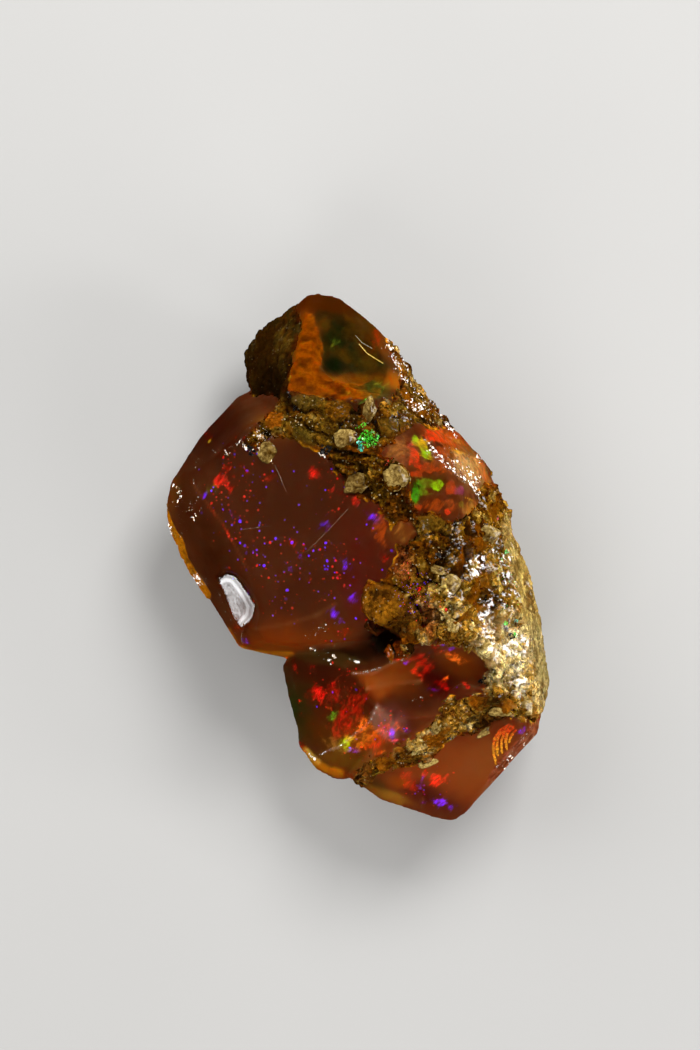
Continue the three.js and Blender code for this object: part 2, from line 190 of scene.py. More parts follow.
# Play of colour: x, y, half width, half height, turn, colour, number of flakes, size of a flake.
FIRE = [
    (-18.3, 12.5, 0.8, 0.4, 0, "red", 20, 0.26), (-19.7, 10.8, 0.9, 0.6, 10, "red", 26, 0.26),
    (-18, 10.2, 0.5, 0.9, 10, "red", 26, 0.26), (-17.3, 11.2, 0.3, 0.4, 0, "red", 9, 0.22),
    (-15.5, 11.9, 0.4, 0.4, 0, "red", 9, 0.22), (-12.6, 11, 0.7, 0.5, 0, "deep red", 14, 0.26),
    (-20.6, 9.9, 0.7, 0.9, 30, "olive", 10, 0.34), (-21.6, 8.7, 0.5, 0.4, 0, "violet", 6, 0.24),
    (-6, 11.6, 0.75, 0.8, 0, "red", 60, 0.34), (-4.3, 4.5, 0.5, 0.8, -25, "violet", 16, 0.3),
    (-9, 2.3, 0.5, 0.6, 0, "red", 9, 0.24), (-8, 0.1, 0.3, 0.5, 0, "violet", 7, 0.26),
    (-9.3, -1.5, 0.3, 0.4, 0, "violet", 6, 0.22), (-6.7, -3, 0.4, 0.3, 0, "red", 7, 0.24),
    (-1.8, -0.9, 0.45, 0.5, 0, "violet", 9, 0.26), (-0.8, -5.5, 1, 0.5, 30, "violet", 16, 0.28),
    (-3.1, -7.9, 0.6, 0.6, 0, "violet", 11, 0.28), (-1.7, -10.2, 0.7, 0.5, 0, "red", 10, 0.26),
    (3.5, 0.1, 0.6, 0.7, 0, "red", 12, 0.3), (0.6, -6.9, 0.5, 0.4, 0, "red", 9, 0.24),
    (-17.6, 6, 0.5, 0.6, 0, "violet", 7, 0.22), (1.8, 5.8, 1, 0.5, -35, "violet", 10, 0.24),
    (-3, 9.3, 1, 0.5, -20, "red", 10, 0.22), (-23, 0.5, 0.4, 0.4, 0, "red", 6, 0.24),
    (-21.3, 17.3, 0.4, 0.7, 30, "red", 9, 0.3), (-21, 16.4, 0.3, 0.3, 0, "yellow", 4, 0.24),
    (-15.9, -11.7, 0.5, 0.4, 0, "violet", 8, 0.26), (-17.2, -9.7, 0.4, 0.6, 0, "red", 8, 0.24),
    (-16.3, -12.4, 0.5, 0.3, 0, "ember", 6, 0.24), (-20.4, 6.5, 0.2, 0.9, 35, "red", 8, 0.2),
    (-18.2, 3.4, 0.16, 1.8, 28, "red", 34, 0.2), (-0.3, 7.9, 0.6, 0.5, 0, "red", 8, 0.24),
    # the lobe
    (-1.6, -22.6, 1.6, 3.6, -35, "deep red", 40, 0.3), (-3.4, -19, 1.2, 2.2, -30, "deep red", 20, 0.3),
    (2.6, -24.9, 2.6, 1.4, 50, "deep red", 40, 0.3), (-5.8, -19.1, 1.05, 1.05, 0, "red", 110, 0.34),
    (-6.8, -18.8, 0.4, 0.3, 0, "red", 8, 0.26), (-8.7, -15.7, 0.3, 0.8, 15, "red", 14, 0.26),
    (-10.2, -14.3, 0.35, 0.35, 0, "ember", 8, 0.26), (-6.4, -15.3, 0.7, 0.4, -10, "red", 9, 0.22),
    (-3.4, -18, 0.4, 0.6, 0, "red", 9, 0.24), (-2, -21.3, 0.6, 0.4, 40, "red", 18, 0.3),
    (-1.2, -23.6, 0.4, 1.3, 18, "red", 20, 0.26), (-2.4, -22.6, 0.3, 0.7, -10, "red", 9, 0.24),
    (-3.6, -22.3, 0.4, 0.9, -35, "green", 34, 0.26), (-4, -21.2, 0.4, 0.3, 0, "ember", 8, 0.26),
    (-7.6, -27, 0.6, 1, 20, "red", 12, 0.26), (-3.2, -20, 0.6, 0.4, 0, "red", 8, 0.24),
    (-1.2, -25.4, 0.7, 0.5, 45, "yellow", 24, 0.24),
    (-1.8, -26.2, 0.85, 0.8, 45, "bright lime", 60, 0.28),
    (-0.5, -27.2, 0.6, 0.45, 0, "violet", 12, 0.28), (0.6, -23.6, 0.6, 1.5, -35, "ember", 30, 0.28),
    (1.6, -25.4, 0.5, 0.5, 0, "ember", 8, 0.22), (2.4, -24.4, 0.5, 0.9, -20, "ember", 16, 0.24),
    (0.8, -26.4, 0.9, 0.4, 30, "ember", 14, 0.24), (4.7, -24.5, 0.35, 0.7, 10, "violet", 26, 0.3),
    (3.5, -24.2, 0.4, 0.4, 0, "pink", 14, 0.26), (5, -25.4, 0.8, 0.3, 5, "pink", 16, 0.26),
    (4.4, -23, 0.25, 0.9, -8, "red", 12, 0.24), (3.2, -22.4, 0.25, 0.9, 8, "red", 10, 0.22),
    (5.8, -23.4, 0.7, 0.5, -40, "ember", 10, 0.24), (6.9, -24, 0.4, 0.4, 0, "violet", 8, 0.24),
    (4.6, -21.7, 0.25, 0.2, 0, "green", 5, 0.22), (2.6, -26.3, 0.9, 0.4, 25, "red", 12, 0.24),
    (8.9, -14.4, 1.5, 1, -35, "deep red", 60, 0.34), (8.1, -16, 0.9, 0.45, -25, "red", 26, 0.3),
    (9.4, -15.6, 0.7, 0.8, 0, "deep red", 20, 0.3), (12.2, -16.8, 0.5, 0.3, 15, "ember", 16, 0.26),
    (12.3, -18.2, 0.45, 0.35, 0, "red", 14, 0.26), (14.9, -17.5, 0.8, 0.3, -35, "red", 12, 0.26),
    (11.6, -17.4, 0.8, 0.6, 0, "deep red", 18, 0.28), (5.6, -14, 0.9, 0.3, 15, "red", 20, 0.26),
    (6.6, -14.6, 0.35, 0.3, 0, "violet", 8, 0.26), (10.6, -18.4, 0.35, 0.3, 0, "violet", 9, 0.28),
    (12.8, -12.5, 0.7, 0.4, 5, "violet", 20, 0.3), (11.8, -11.8, 0.3, 0.3, 0, "violet", 8, 0.26),
    (10.6, -12.2, 0.5, 0.35, 0, "red", 12, 0.26), (13, -13.6, 1.4, 0.7, -30, "ember", 22, 0.26),
    (11, -13, 0.7, 0.4, 0, "red", 9, 0.24), (9, -17, 0.4, 0.3, 0, "red", 7, 0.24),
    (3, -27.3, 0.8, 0.3, 25, "ember", 10, 0.22),
    # the foot
    (11, -31.2, 1, 0.9, -20, "red", 44, 0.32), (9.6, -30.3, 0.6, 0.5, 0, "red", 12, 0.26),
    (7.3, -31.4, 0.9, 1.4, 15, "deep red", 34, 0.3), (12.6, -30.6, 0.3, 0.3, 0, "red", 6, 0.26),
    (11.8, -34.5, 1, 0.55, -15, "violet", 44, 0.32), (13, -35.3, 0.4, 0.35, 0, "violet", 12, 0.28),
    (9.2, -34.6, 0.4, 0.2, 0, "violet", 8, 0.24), (22.8, -23.9, 0.6, 0.35, 20, "violet", 16, 0.28),
    (21.4, -23.6, 0.4, 0.4, 0, "ember", 9, 0.26), (9, -31.6, 0.2, 0.8, -10, "violet", 8, 0.2),
    (24.4, -23.2, 0.5, 0.3, 0, "yellow", 8, 0.26),
    # the peak
    (0.9, 21.9, 0.9, 0.18, 38, "green", 14, 0.24), (-1.3, 23, 0.5, 0.3, 0, "olive", 8, 0.26),
    (2.6, 31.2, 0.8, 1.2, 0, "deep red", 16, 0.28), (-13, 29.4, 0.5, 0.4, 30, "deep red", 8, 0.24),
    (3.2, 24.4, 1.2, 0.7, -20, "olive", 12, 0.28), (-3.2, 30.2, 0.9, 0.5, 20, "olive", 8, 0.28),
]
# Softer colour, mostly in the window at the upper right, without flakes: x, y, half width, half height, turn,
# colour, and strength, which is full from 33 on.
SOFT_FIRE = [
    (7.7, 14.4, 0.85, 1.5, 12, "soft red", 60), (8.2, 12.9, 0.9, 0.5, -10, "soft red", 40),
    (7.2, 15.9, 0.3, 0.4, 0, "pink", 6), (8.9, 15.9, 0.7, 0.9, 40, "soft yellow", 60),
    (8, 16.4, 0.45, 0.7, 20, "lime", 44), (9.3, 14.7, 0.6, 1.2, 40, "lime", 60),
    (10, 13.9, 0.4, 0.35, 0, "soft yellow", 44), (9.9, 12.4, 1.6, 0.6, -8, "soft ember", 60),
    (8, 11.7, 0.8, 0.5, 0, "soft ember", 36), (9.4, 10.4, 1.2, 0.7, 2, "moss", 60),
    (10.8, 10.1, 0.7, 0.55, 0, "lime", 40), (7.9, 9.2, 0.65, 1.3, 0, "soft green", 60),
    (8.9, 9.2, 1, 0.35, -5, "moss", 36), (8.2, 7, 0.6, 0.4, 0, "soft ember", 36),
    (14.2, 9.3, 0.8, 0.6, 10, "plum", 50), (12.9, 9.6, 0.8, 0.7, 0, "soft ember", 30),
    (15.4, 8.3, 0.9, 0.12, -8, "soft yellow", 40), (14.3, 7.5, 0.4, 0.5, 0, "moss", 40),
    (12.4, 6.3, 0.5, 0.35, -20, "soft red", 44), (10.9, 17.1, 1.4, 0.9, -15, "soft red", 60),
    (12.6, 16.3, 1.5, 0.6, -25, "soft ember", 60), (14, 16.6, 0.8, 0.35, -10, "moss", 60),
    (14.2, 14.9, 1.1, 0.3, -15, "soft yellow", 50), (11.4, 14.9, 0.6, 0.8, 0, "soft ember", 50),
    (17.9, 11.6, 0.25, 1.4, 25, "soft ember", 40), (13.2, 15.4, 0.7, 0.4, 0, "soft ember", 40),
    (1, -25.2, 2.2, 1.2, 42, "gold", 40), (-3, -26.6, 1.8, 0.9, -25, "amber", 40),
    (5.3, 14.9, 2, 1.7, 20, "amber", 44), (10.9, 12.7, 1.7, 0.9, -20, "rust", 50),
    (11.9, 14.7, 1.2, 1.4, -40, "rust", 50), (15, 13, 2, 1.7, -30, "straw", 50),
    (11.6, 7.3, 2.4, 0.9, 5, "rust", 36), (13.4, 17, 2.2, 0.7, -20, "rust", 50),
    (15.7, 7.4, 1.4, 1, 10, "amber", 40), (5.8, 3.6, 1, 1.1, 0, "amber", 36),
    (3, 4.2, 0.8, 2.4, 10, "rust", 36),
]
# Pin points of colour over whole faces: x, y, half width, half height, turn, how many of the spots hold one,
# share of violet.
PINS = [
    (-9.5, 4, 9.5, 10, 20, 0.44, 0.36), (-17, 9.5, 4, 5, 20, 0.52, 0.2), (-2, 0, 5, 9, 0, 0.48, 0.36),
    (-4, -4, 7, 6, 0, 0.36, 0.4), (-4, 9, 4.5, 4.5, 0, 0.52, 0.15), (-4, -19, 5, 4, 0, 0.26, 0.05),
    (-1, -24.5, 3.5, 3.5, 30, 0.34, 0.15), (10, -16, 5, 3, -20, 0.26, 0.15), (9, -32, 4, 3, 0, 0.34, 0.3),
    (-18, 17, 5, 5, 0, 0.05, 0.2), (4.5, -23.5, 2, 2.4, 0, 0.42, 0.3),
]
# Colour that shows in the rock itself: x, y, half width, half height, turn, colour, number, size.
ROCK_FIRE = [
    (1.5, 16.5, 1.5, 1.2, 0, "green", 90, 0.26), (0.3, 15.4, 0.5, 0.9, 20, "teal", 26, 0.26),
    (0.4, 18.2, 0.9, 0.3, 30, "green", 12, 0.2), (0.6, 18.3, 0.4, 0.3, 0, "green", 6, 0.2),
    (20.6, -9.1, 0.4, 0.3, 0, "green", 12, 0.26), (22, -10.8, 0.25, 0.5, 0, "green", 9, 0.24),
    (22.2, -8.9, 0.3, 0.3, 0, "teal", 6, 0.22), (21.1, 0.8, 0.3, 0.35, 20, "green", 9, 0.24),
    (20.3, -0.3, 0.15, 0.5, 30, "green", 6, 0.18), (21, -3, 1.5, 5, 10, "green", 22, 0.12),
    (22.8, -12, 0.4, 0.2, 0, "yellow", 6, 0.22), (21.6, -13.5, 1.4, 3, 0, "olive", 20, 0.14),
    (23.2, -15, 0.25, 0.3, 0, "yellow", 5, 0.22), (8.3, -4.2, 0.35, 0.3, 0, "red", 8, 0.22),
    (11.9, -6.9, 0.2, 0.3, 0, "red", 6, 0.2), (8, -5, 3.5, 3.5, 0, "red", 40, 0.12),
    (8, -4.6, 3, 3, 0, "violet", 24, 0.11), (6.4, -1.6, 1, 1.5, 0, "red", 14, 0.14),
    (19.8, 5.6, 0.2, 0.4, 0, "red", 5, 0.24), (11.2, -6.6, 0.2, 0.25, 0, "ember", 4, 0.2),
    (4, 13.5, 1.4, 0.6, 30, "red", 14, 0.12),
]
COLOURS = {
    "red": (0.7, 0.004, 0.004), "deep red": (0.3, 0.003, 0.001), "ember": (0.95, 0.16, 0.01),
    "yellow": (0.85, 0.62, 0.02), "green": (0.06, 0.55, 0.02), "olive": (0.12, 0.17, 0.01),
    "teal": (0.02, 0.45, 0.3), "violet": (0.13, 0.012, 1.6), "pink": (1, 0.14, 0.2),
    "soft red": (0.72, 0.012, 0.001), "soft ember": (0.36, 0.024, 0.001),
    "soft yellow": (0.72, 0.42, 0.002), "lime": (0.24, 0.56, 0.002), "soft green": (0.012, 0.3, 0.002),
    "moss": (0.06, 0.18, 0.002), "bright lime": (0.3, 0.62, 0.004), "plum": (0.16, 0.008, 0.09),
    "gold": (0.42, 0.13, 0.004), "amber": (0.2, 0.085, 0.012), "rust": (0.28, 0.035, 0.001),
    "straw": (0.4, 0.25, 0.08),
}
# Broken crests with pale bruised chips that also stand in for their glints, a painted highlight: points along
# each, then how far flakes stray and how many there are.
CRESTS = [
    ([(2.6, -20.6), (1.7, -22.8), (-0.1, -24.3), (-2.2, -26.3), (-4.3, -27.4), (-5.4, -28)], 0.04, 80),
    ([(-0.8, -16.2), (2, -15.6), (4.5, -14.7), (6.8, -13.8)], 0.1, 60),
    ([(9, -19.4), (7.6, -19.8)], 0.1, 8), ([(-25.5, 9.2), (-24.5, 5.3), (-24, 3.4)], 0.8, 24),
    ([(-23.4, 8), (-22.9, 6.5), (-23, 11.2)], 0.5, 16),
    ([(-22.4, 13.6), (-18.6, 15.4), (-14.8, 16.6)], 0.45, 34), ([(-14.6, 18.3), (-12, 16.8)], 0.5, 50),
    ([(-6.1, -12.6), (-4.2, -14.1), (-3.4, -13.7)], 0.5, 10), ([(-0.6, -14.2), (-0.3, -14.4)], 0.3, 4),
    ([(19, -29.9), (20.7, -27.8), (22.4, -25.8), (24.3, -23.8)], 0.14, 60),
    ([(-20, -3), (-18.4, -8.6), (-16.8, -11.4)], 0.15, 14), ([(-21.8, -2.9), (-21.4, -3.9)], 0.25, 12),
    ([(-7.1, -11), (-3.4, -8.8)], 0.25, 22),
    ([(9.2, 16.4), (11.2, 13.6), (13.6, 11.9), (16.1, 10.2), (16.9, 8.8)], 0.35, 90),
    ([(12.5, 15), (13.2, 14), (14.3, 12.6), (16.4, 14.4)], 0.6, 50),
    ([(3.7, 31), (5.2, 27.8), (7, 25.2), (9.4, 22.3), (12.4, 19.2)], 0.35, 80),
    ([(11.9, -11.7), (9, -11.6)], 0.25, 18),
]
# Wet broken edges whose facets catch the light: points along each, how far the facets stray, how many,
# and their heading.
SCALES = [
    ([(9.8, 15.8), (11.7, 13.5), (13.2, 12.2), (14.4, 11.4), (16.2, 10.2), (17.2, 9)], 0.28, 90, -52),
    ([(13.9, 13.6), (15.4, 12.1), (17.4, 11)], 0.45, 44, -50),
    ([(12.7, 18.9), (14.1, 17)], 0.15, 18, -50), ([(17.2, 14.4), (17.5, 13.4)], 0.2, 8, -70),
    ([(3.9, 30.7), (5.2, 28.8), (5.6, 27.2), (6.2, 25.6), (7.3, 24.6)], 0.25, 44, -60),
    ([(7.2, 21.8), (9.4, 21)], 0.5, 50, 10), ([(11.3, 20.9), (13, 18.9)], 0.2, 18, -50),
    ([(-25.7, 10.2), (-24.9, 8.4)], 0.3, 12, 60), ([(-23.9, 8), (-23, 5.8)], 0.35, 10, 70),
    ([(-26.9, 4.9), (-26.5, 3.2)], 0.08, 14, 80), ([(-23.3, -2.6), (-22.3, -3.8)], 0.16, 22, -50),
    ([(-13.9, 17.4), (-12.9, 16.3)], 0.28, 40, -50), ([(-16.6, 15.9), (-15.5, 15.2)], 0.25, 16, 0),
    ([(-18.5, 14.9), (-18.1, 14.5)], 0.12, 5, 0), ([(-12.3, 13.7), (-11.9, 13.3)], 0.15, 8, 0),
    ([(-5, 14.6), (-4.6, 13.8)], 0.15, 14, -70), ([(-6.4, -12.5), (-5.6, -12.8)], 0.12, 10, -20),
    ([(-3.6, -13.6), (-3, -13.9)], 0.1, 10, -30), ([(-4.2, -14.3), (-4, -14.3)], 0.08, 5, 0),
    ([(-0.6, -14.3), (0, -14.4)], 0.06, 7, 0),
    ([(19.6, -30.4), (22.4, -27.4), (25.2, -24)], 0.35, 12, 48),
    ([(4.5, -11.5), (4.8, -11.3)], 0.05, 4, 30), ([(-6.9, -28), (-5.9, -28.7)], 0.08, 12, -40),
    ([(-14.9, 14.6), (-13.2, 15.4)], 0.4, 6, -30),
]
# Hairline cracks and needles: points, half width in mm, finish.
HAIRS = [
    ([(-16.3, -10.3), (-16.5, -11.2), (-16.4, -12.2)], 0.035, "pale needle"),
    ([(-16, 4), (-12, 4.5)], 0.02, "crack"),
    ([(-11.5, 12.9), (-10.9, 11.6), (-9.9, 9.2)], 0.025, "crack"),
    ([(-1.4, 6.8), (-3.6, 4.4), (-7.1, 0.9)], 0.022, "crack"),
    ([(0.2, 30.2), (1.3, 28.9), (3.5, 27.5)], 0.075, "needle"),
    ([(-0.3, 31.4), (0.6, 30.4), (2, 29.6)], 0.05, "pale needle"),
]
# Banded flames in the foot: points of each band.
FLAMES = [
    [(20.9, -23), (19.7, -23.8), (18.9, -25.2), (18.8, -26.6), (19.3, -28.8)],
    [(20.7, -23.3), (19.7, -24.3), (19.3, -25.6), (19.5, -27.6)],
    [(21.2, -23.2), (20.2, -24.3), (19.9, -25.6), (20.1, -27.2)],
    [(21.5, -23.4), (20.7, -24.3), (20.5, -25.4), (20.8, -26.6)],
    [(21.9, -23.8), (21.2, -24.6), (21.1, -25.6)],
]
# Places where the rock is glassy and wet: x, y, half width, half height, turn.
WET = [
    (17.4, -8.5, 1.7, 3.4, 8), (21.4, -6, 1.4, 1.6, 0), (22, -12.2, 2, 1.6, 0), (20, 0.4, 2.2, 1.1, -25),
    (20.6, -2.6, 1, 1.3, 20), (17.2, -13.5, 2.4, 2, 0), (10.6, 23.6, 2, 2.4, 40),
    (6.2, 27.5, 1.4, 3.6, 28), (12.6, -5.2, 1.6, 1.4, 0), (15.8, -1.2, 1.2, 1.8, -30),
    (22.6, -17.2, 0.9, 0.7, 0), (-13.6, 15.6, 1.8, 1.6, 30), (13.5, 21, 1.4, 2.6, 40),
]
# Black glassy bits in the rock: x, y and half size.
BLACK_BITS = [
    (-14.6, 15, 0.8), (-13.4, 14, 0.4), (-4.5, 14.9, 0.8), (-9.4, 22.7, 0.5), (-8.5, 21, 0.6),
    (21.4, -10.9, 0.5), (9.2, -27, 0.4), (17.4, -17.2, 0.7), (15.5, -8.4, 0.4), (12.6, -24.9, 0.4),
    (10.8, 0.4, 0.5),
]
# How much brighter the opal is coloured than it is seen, because light sinks into it.
OPAL_LIFT = (1.35, 1.7, 1.9)
# Lines of colour on the opal: points, half width, colour as seen on a screen, strength.
STROKES = [
    ([(-23.5, 10.8), (-19.1, 5.1), (-17.4, 2.1), (-15.3, -1.4)], 0.16, (140, 58, 22), 0.5),
    ([(-7.5, -27.6), (-6.2, -29.1), (-4.4, -30.1), (-2.6, -30.6)], 0.62, (214, 122, 10), 0.95),
    ([(1.6, -32.2), (3.4, -33.8), (6, -34.9)], 0.42, (160, 92, 20), 0.55),
    ([(-7.3, -27.4), (-6.4, -28.5), (-5.6, -29.1)], 0.34, (250, 190, 70), 0.8),
    ([(-3.9, -30.4), (-2.4, -30.9)], 0.4, (150, 66, 6), 0.8),
    ([(-6.4, -27.6), (-5.2, -28.9), (-3.6, -29.6)], 0.16, (52, 22, 4), 0.7),
    ([
        (-18.4, -10.6), (-17.2, -12.9), (-15.2, -13.7), (-12.4, -13.8), (-9.4, -13.6),
    ], 0.55, (206, 100, 12), 1),
    # a pale streak across the lobe's scoop: a painted highlight
    ([(1.4, -18.1), (5.6, -17.4), (8.8, -17.2)], 0.3, (196, 122, 66), 0.5),
    ([(-0.7, -16.1), (2.1, -16), (5.4, -14.3), (7.1, -13.8)], 0.25, (190, 112, 60), 0.6),
    # a pale line along the lobe's ridge: partly milky bruised opal, partly a painted highlight on the ridge
    ([
        (2.8, -20.6), (1.9, -22.4), (0.6, -24), (-1, -25.2), (-2.6, -26.9), (-4.5, -27.5),
    ], 0.14, (190, 136, 100), 0.6),
    ([(-14.4, -9.9), (-9.4, -9.1), (-5.7, -7.8), (-3.2, -6.4)], 0.3, (140, 72, 30), 0.4),
]
# The thin golden lip that stands out along the lobe's lower left edge.
LIP = [(-8, -26.4), (-6.6, -28.6), (-4.8, -30), (-2.4, -30.8)]
# The bruised bevel along the foot and the orange crust and dark cup of the peak.
BEVEL = [
    (18.4, -30.2), (20.2, -27.6), (21.9, -25.5), (24, -23.4), (25.6, -22.4), (29, -24), (22, -33),
    (18, -32),
]
CRUST = [
    (-7.6, 34.8), (-6.5, 34.3), (-6.1, 32.6), (-5.4, 31), (-4.8, 29.3), (-5, 27.9), (-5.5, 25.8),
    (-4, 24.7), (-2, 24.6), (0.4, 24.2), (2.2, 24.9), (3.6, 23.6), (3, 22.4), (0, 22), (-6, 22.2),
    (-10.4, 23.4), (-9.6, 25.7), (-8.6, 28.4), (-8.2, 31.5),
]
CUP = [
    (-6.4, 34.6), (-5.2, 35.4), (-3, 35), (-0.5, 33.6), (1.5, 32), (2.9, 30.2), (3.7, 28), (4.2, 25.5),
    (3.4, 24), (0.2, 24.2), (-4, 24.6), (-5.6, 25.8), (-5, 28.4), (-5.6, 31.4),
]
# Places where the opal has little gloss: x, y, half width, half height, turn.
NO_GLOSS = [
    (7, -18.2, 11, 6.2, 4), (-1.4, 30, 10, 8, -35), (9.4, 10.8, 5.6, 6.2, 10), (14.6, 6, 2.6, 1.6, 0),
    (21.8, -24.2, 1.8, 1.5, 0),
]
# Broken faces with a colour of their own: outline, colour as seen on a screen, softness of the border,
# strength.
BREAKS = [
    ([
        (-0.7, -16), (2.1, -15.9), (5.4, -14.3), (7.2, -13.8), (8.6, -15.2), (8, -17), (5.2, -18.2),
        (2.9, -19.7), (1.3, -18.2),
    ], (160, 66, 14), 0.7, 0.85),
    ([(2.2, -16.9), (5.6, -16.2), (8, -16.4), (5.2, -17.6), (2.2, -18.4)], (158, 74, 24), 0.6, 0.5),
    ([
        (2.75, -20.2), (4.1, -21.6), (5.2, -23.4), (5.5, -24.9), (3.6, -25.2), (2.3, -24.2), (1.7, -22.6),
        (2.1, -21.3),
    ], (162, 98, 72), 0.35, 0.8),
    ([
        (1.5, -22.7), (2.4, -24.2), (3.5, -25.6), (1.6, -26.9), (-1.2, -27.6), (-2.5, -26.9),
        (-0.6, -25.1), (0.5, -24),
    ], (150, 60, 10), 0.3, 0.85),
    ([
        (-4.7, -27.5), (-2.2, -27.2), (0.6, -28.4), (0, -30.4), (-3.4, -29.6), (-6, -28.4),
    ], (132, 74, 14), 0.7, 0.7),
    ([
        (-7.2, -12.9), (-2, -13.3), (1.2, -14.6), (-2, -15.4), (-6, -14.9), (-9.6, -14),
    ], (84, 48, 14), 0.3, 0.8),
]
# Gloss across the shallow chip, from outside its rim (0) to its far side (1).
CHIP_BANDS = [
    (0.001, 1), (0.05, 0.9), (0.07, 0.46), (0.16, 0.5), (0.175, 0.8), (0.2, 0.44), (0.27, 0.52),
    (0.3, 0.95), (0.37, 1), (0.42, 0.56), (0.5, 0.62), (0.7, 0.62), (0.85, 0.5),
]
# The shallow shell-shaped chip at the left. Its bands follow its upper right rim.
SCOOP_RIM = [
    (-19.9, -2.6), (-18.6, -1.9), (-17, -2.3), (-15.6, -4.2), (-14.1, -6.6), (-14.5, -8.4),
    (-16.3, -10.4),
]
SCOOP = [*SCOOP_RIM, (-17.7, -8.4), (-18.6, -6)]
# Where the opal is splintered along the wet right of its window.
WET_RIDGE = [
    (9, 19), (9.4, 16.2), (11.2, 13.6), (13.6, 11.9), (16.1, 10.2), (17, 8), (23, 9), (20, 17), (14, 21),
]
# Colours of fire that are not drawn out in strokes.
UNBRUSHED = ("soft red", "soft ember", "soft yellow", "soft green", "lime", "moss", "plum")
# The shallow chip's floor is a plane: a place on it in plan, its height there, and its slopes along x and y.
# The chip is cut only into what stands higher than CHIP_ABOVE.
CHIP_MIDDLE, CHIP_HEIGHT, CHIP_SLOPES, CHIP_ABOVE = (-17, -6), 20.4, (0.12, -0.17), 14
# The level in mm up to which rock closes the underside, and how much higher it comes at the left rim.
ROCK_LEVEL, RIM_RISE = 9.6, 5.1
# The slant that strokes of fire follow, seen from above.
STROKE_SLANT = math.radians(52)
# Colours of hairline cracks and needles.
HAIR_COLOURS = {"crack": (0.20, 0.10, 0.05), "needle": (0.75, 0.48, 0.08), "pale needle": (0.42, 0.38, 0.26)}
# The crust of rock: its thickness in mm, the depth in the rock below which it is cut away, and how far a face
# has to look up to belong to the upper part. The upper part is cut in two at one x and the under part at
# another.
CRUST_THICKNESS, BARE_DEPTH, UPPER_SLOPE, UPPER_CUT, UNDER_CUT = 1.3, -0.34, -0.15, 8, -2
# A height in mm above all of the stone.
ABOVE_ALL = 99
# Seeds of the random draws of each step.
FIRE_SEED, PEBBLE_SEED, CREST_SEED = 7, 11, 5


# ---------------------------------------------------------------- what a user may change
class RoughOpalSettings(bpy.types.PropertyGroup):
    """Sizes and colours of the stone."""

    skin_step: bpy.props.FloatProperty(
        name="Rock mesh step", description="Size of the rock's faces", default=0.24 * MM, unit="LENGTH"
    )
    body_step: bpy.props.FloatProperty(
        name="Opal mesh step", description="Size of the opal's faces", default=0.36 * MM, unit="LENGTH"
    )
    opal_colour: bpy.props.FloatVectorProperty(
        name="Opal", description="Body colour of the opal", default=(0.14, 0.034, 0.010), subtype="COLOR",
        size=3,
    )
    depth_colour: bpy.props.FloatVectorProperty(
        name="Opal depth", description="Colour that light keeps inside the opal", default=(0.86, 0.36, 0.02),
        subtype="COLOR", size=3,
    )
    depth_density: bpy.props.FloatProperty(
        name="Opal density", description="How fast the opal darkens with depth, per metre", default=420
    )
    floor_colour: bpy.props.FloatVectorProperty(
        name="Floor", description="Colour of the studio floor", default=(0.40, 0.395, 0.385),
        subtype="COLOR", size=3,
    )


# ---------------------------------------------------------------- noise over points in space
# The directions that the rock splits along.
CLEAVAGE = np.array([[0.94, -0.30, 0.15], [0.35, 0.90, -0.25], [0.10, 0.25, 0.95]])


def scrambled(cells, salt):
    """A number from 0 to 1 for each whole-numbered cell, from a hash with large primes."""
    n = (cells[:, 0] * 73856093) ^ (cells[:, 1] * 19349663) ^ (cells[:, 2] * 83492791) ^ (salt * 2654435761)
    n = (n ^ (n >> 13)) * 1274126177
    n = (n ^ (n >> 16)) * 668265263
    return ((n ^ (n >> 15)) & 0xFFFFFF) / 0xFFFFFF


def soft_noise(points, size, salt=0):
    """Smooth noise from -1 to 1, whose lumps are about size apart."""
    q = points / size
    low = np.floor(q)
    f = q - low
    f = f * f * f * (f * (f * 6 - 15) + 10)
    cell = low.astype(np.int64)
    total = np.zeros(len(points))
    for corner in np.ndindex(2, 2, 2):
        corner = np.array(corner)
        weight = np.where(corner, f, 1 - f).prod(1)
        total += weight * scrambled(cell + corner, salt)
    return total * 2 - 1


def rough_noise(points, size, salt=0, layers=4, gain=0.5):
    """Noise from about -1 to 1 with finer and finer layers."""
    total, strength, most = 0, 1.0, 0.0
    for layer in range(layers):
        total = total + strength * soft_noise(points + 17.3 * layer, size / 2**layer, salt + layer)
        most += strength
        strength *= gain
    return total / most * 1.4


def grains(points, size, salt=0):
    """Packed angular grains: distance to the nearest grain's middle and to the next one, offset and cell.

    The offset is from the nearest middle, and the cell is the nearest grain's.
    """
    q = points / size
    cell = np.floor(q).astype(np.int64)
    near = np.full(len(points), 9.0)
    next_near = near.copy()
    offset = np.zeros_like(points)
    grain = np.zeros_like(cell)
    for step in np.ndindex(3, 3, 3):
        there = cell + (np.array(step) - 1)
        middle = there + 0.5 + 0.42 * (np.stack([scrambled(there, salt + k) for k in (1, 2, 3)], 1) * 2 - 1)
        away = q - middle
        d = 0.45 * np.sqrt((away**2).sum(1)) + 0.55 * np.abs(away @ CLEAVAGE).max(1)
        d = d + 0.2 * scrambled(there, salt + 4)
        closer = d < near
        next_near = np.where(closer, near, np.minimum(next_near, d))
        near = np.where(closer, d, near)
        offset[closer] = away[closer]
        grain[closer] = there[closer]
    return near * size, next_near * size, offset * size, grain


def ramp(value, low, high):
    """0 below low, 1 above high and smooth between."""
    t = np.clip((value - low) / (high - low), 0, 1)
    return t * t * (3 - 2 * t)


def off_line(plan, line):
    """How far points in plan are from a line of x, y points, in its unit."""
    corner = np.array(line, float)
    nearest = np.full(len(plan), 1e9)
    for a, b in zip(corner, corner[1:]):
        along = b - a
        t = np.clip(((plan - a) @ along) / (along @ along), 0, 1)
        nearest = np.minimum(nearest, ((plan - a - t[:, None] * along) ** 2).sum(1))
    return np.sqrt(nearest)


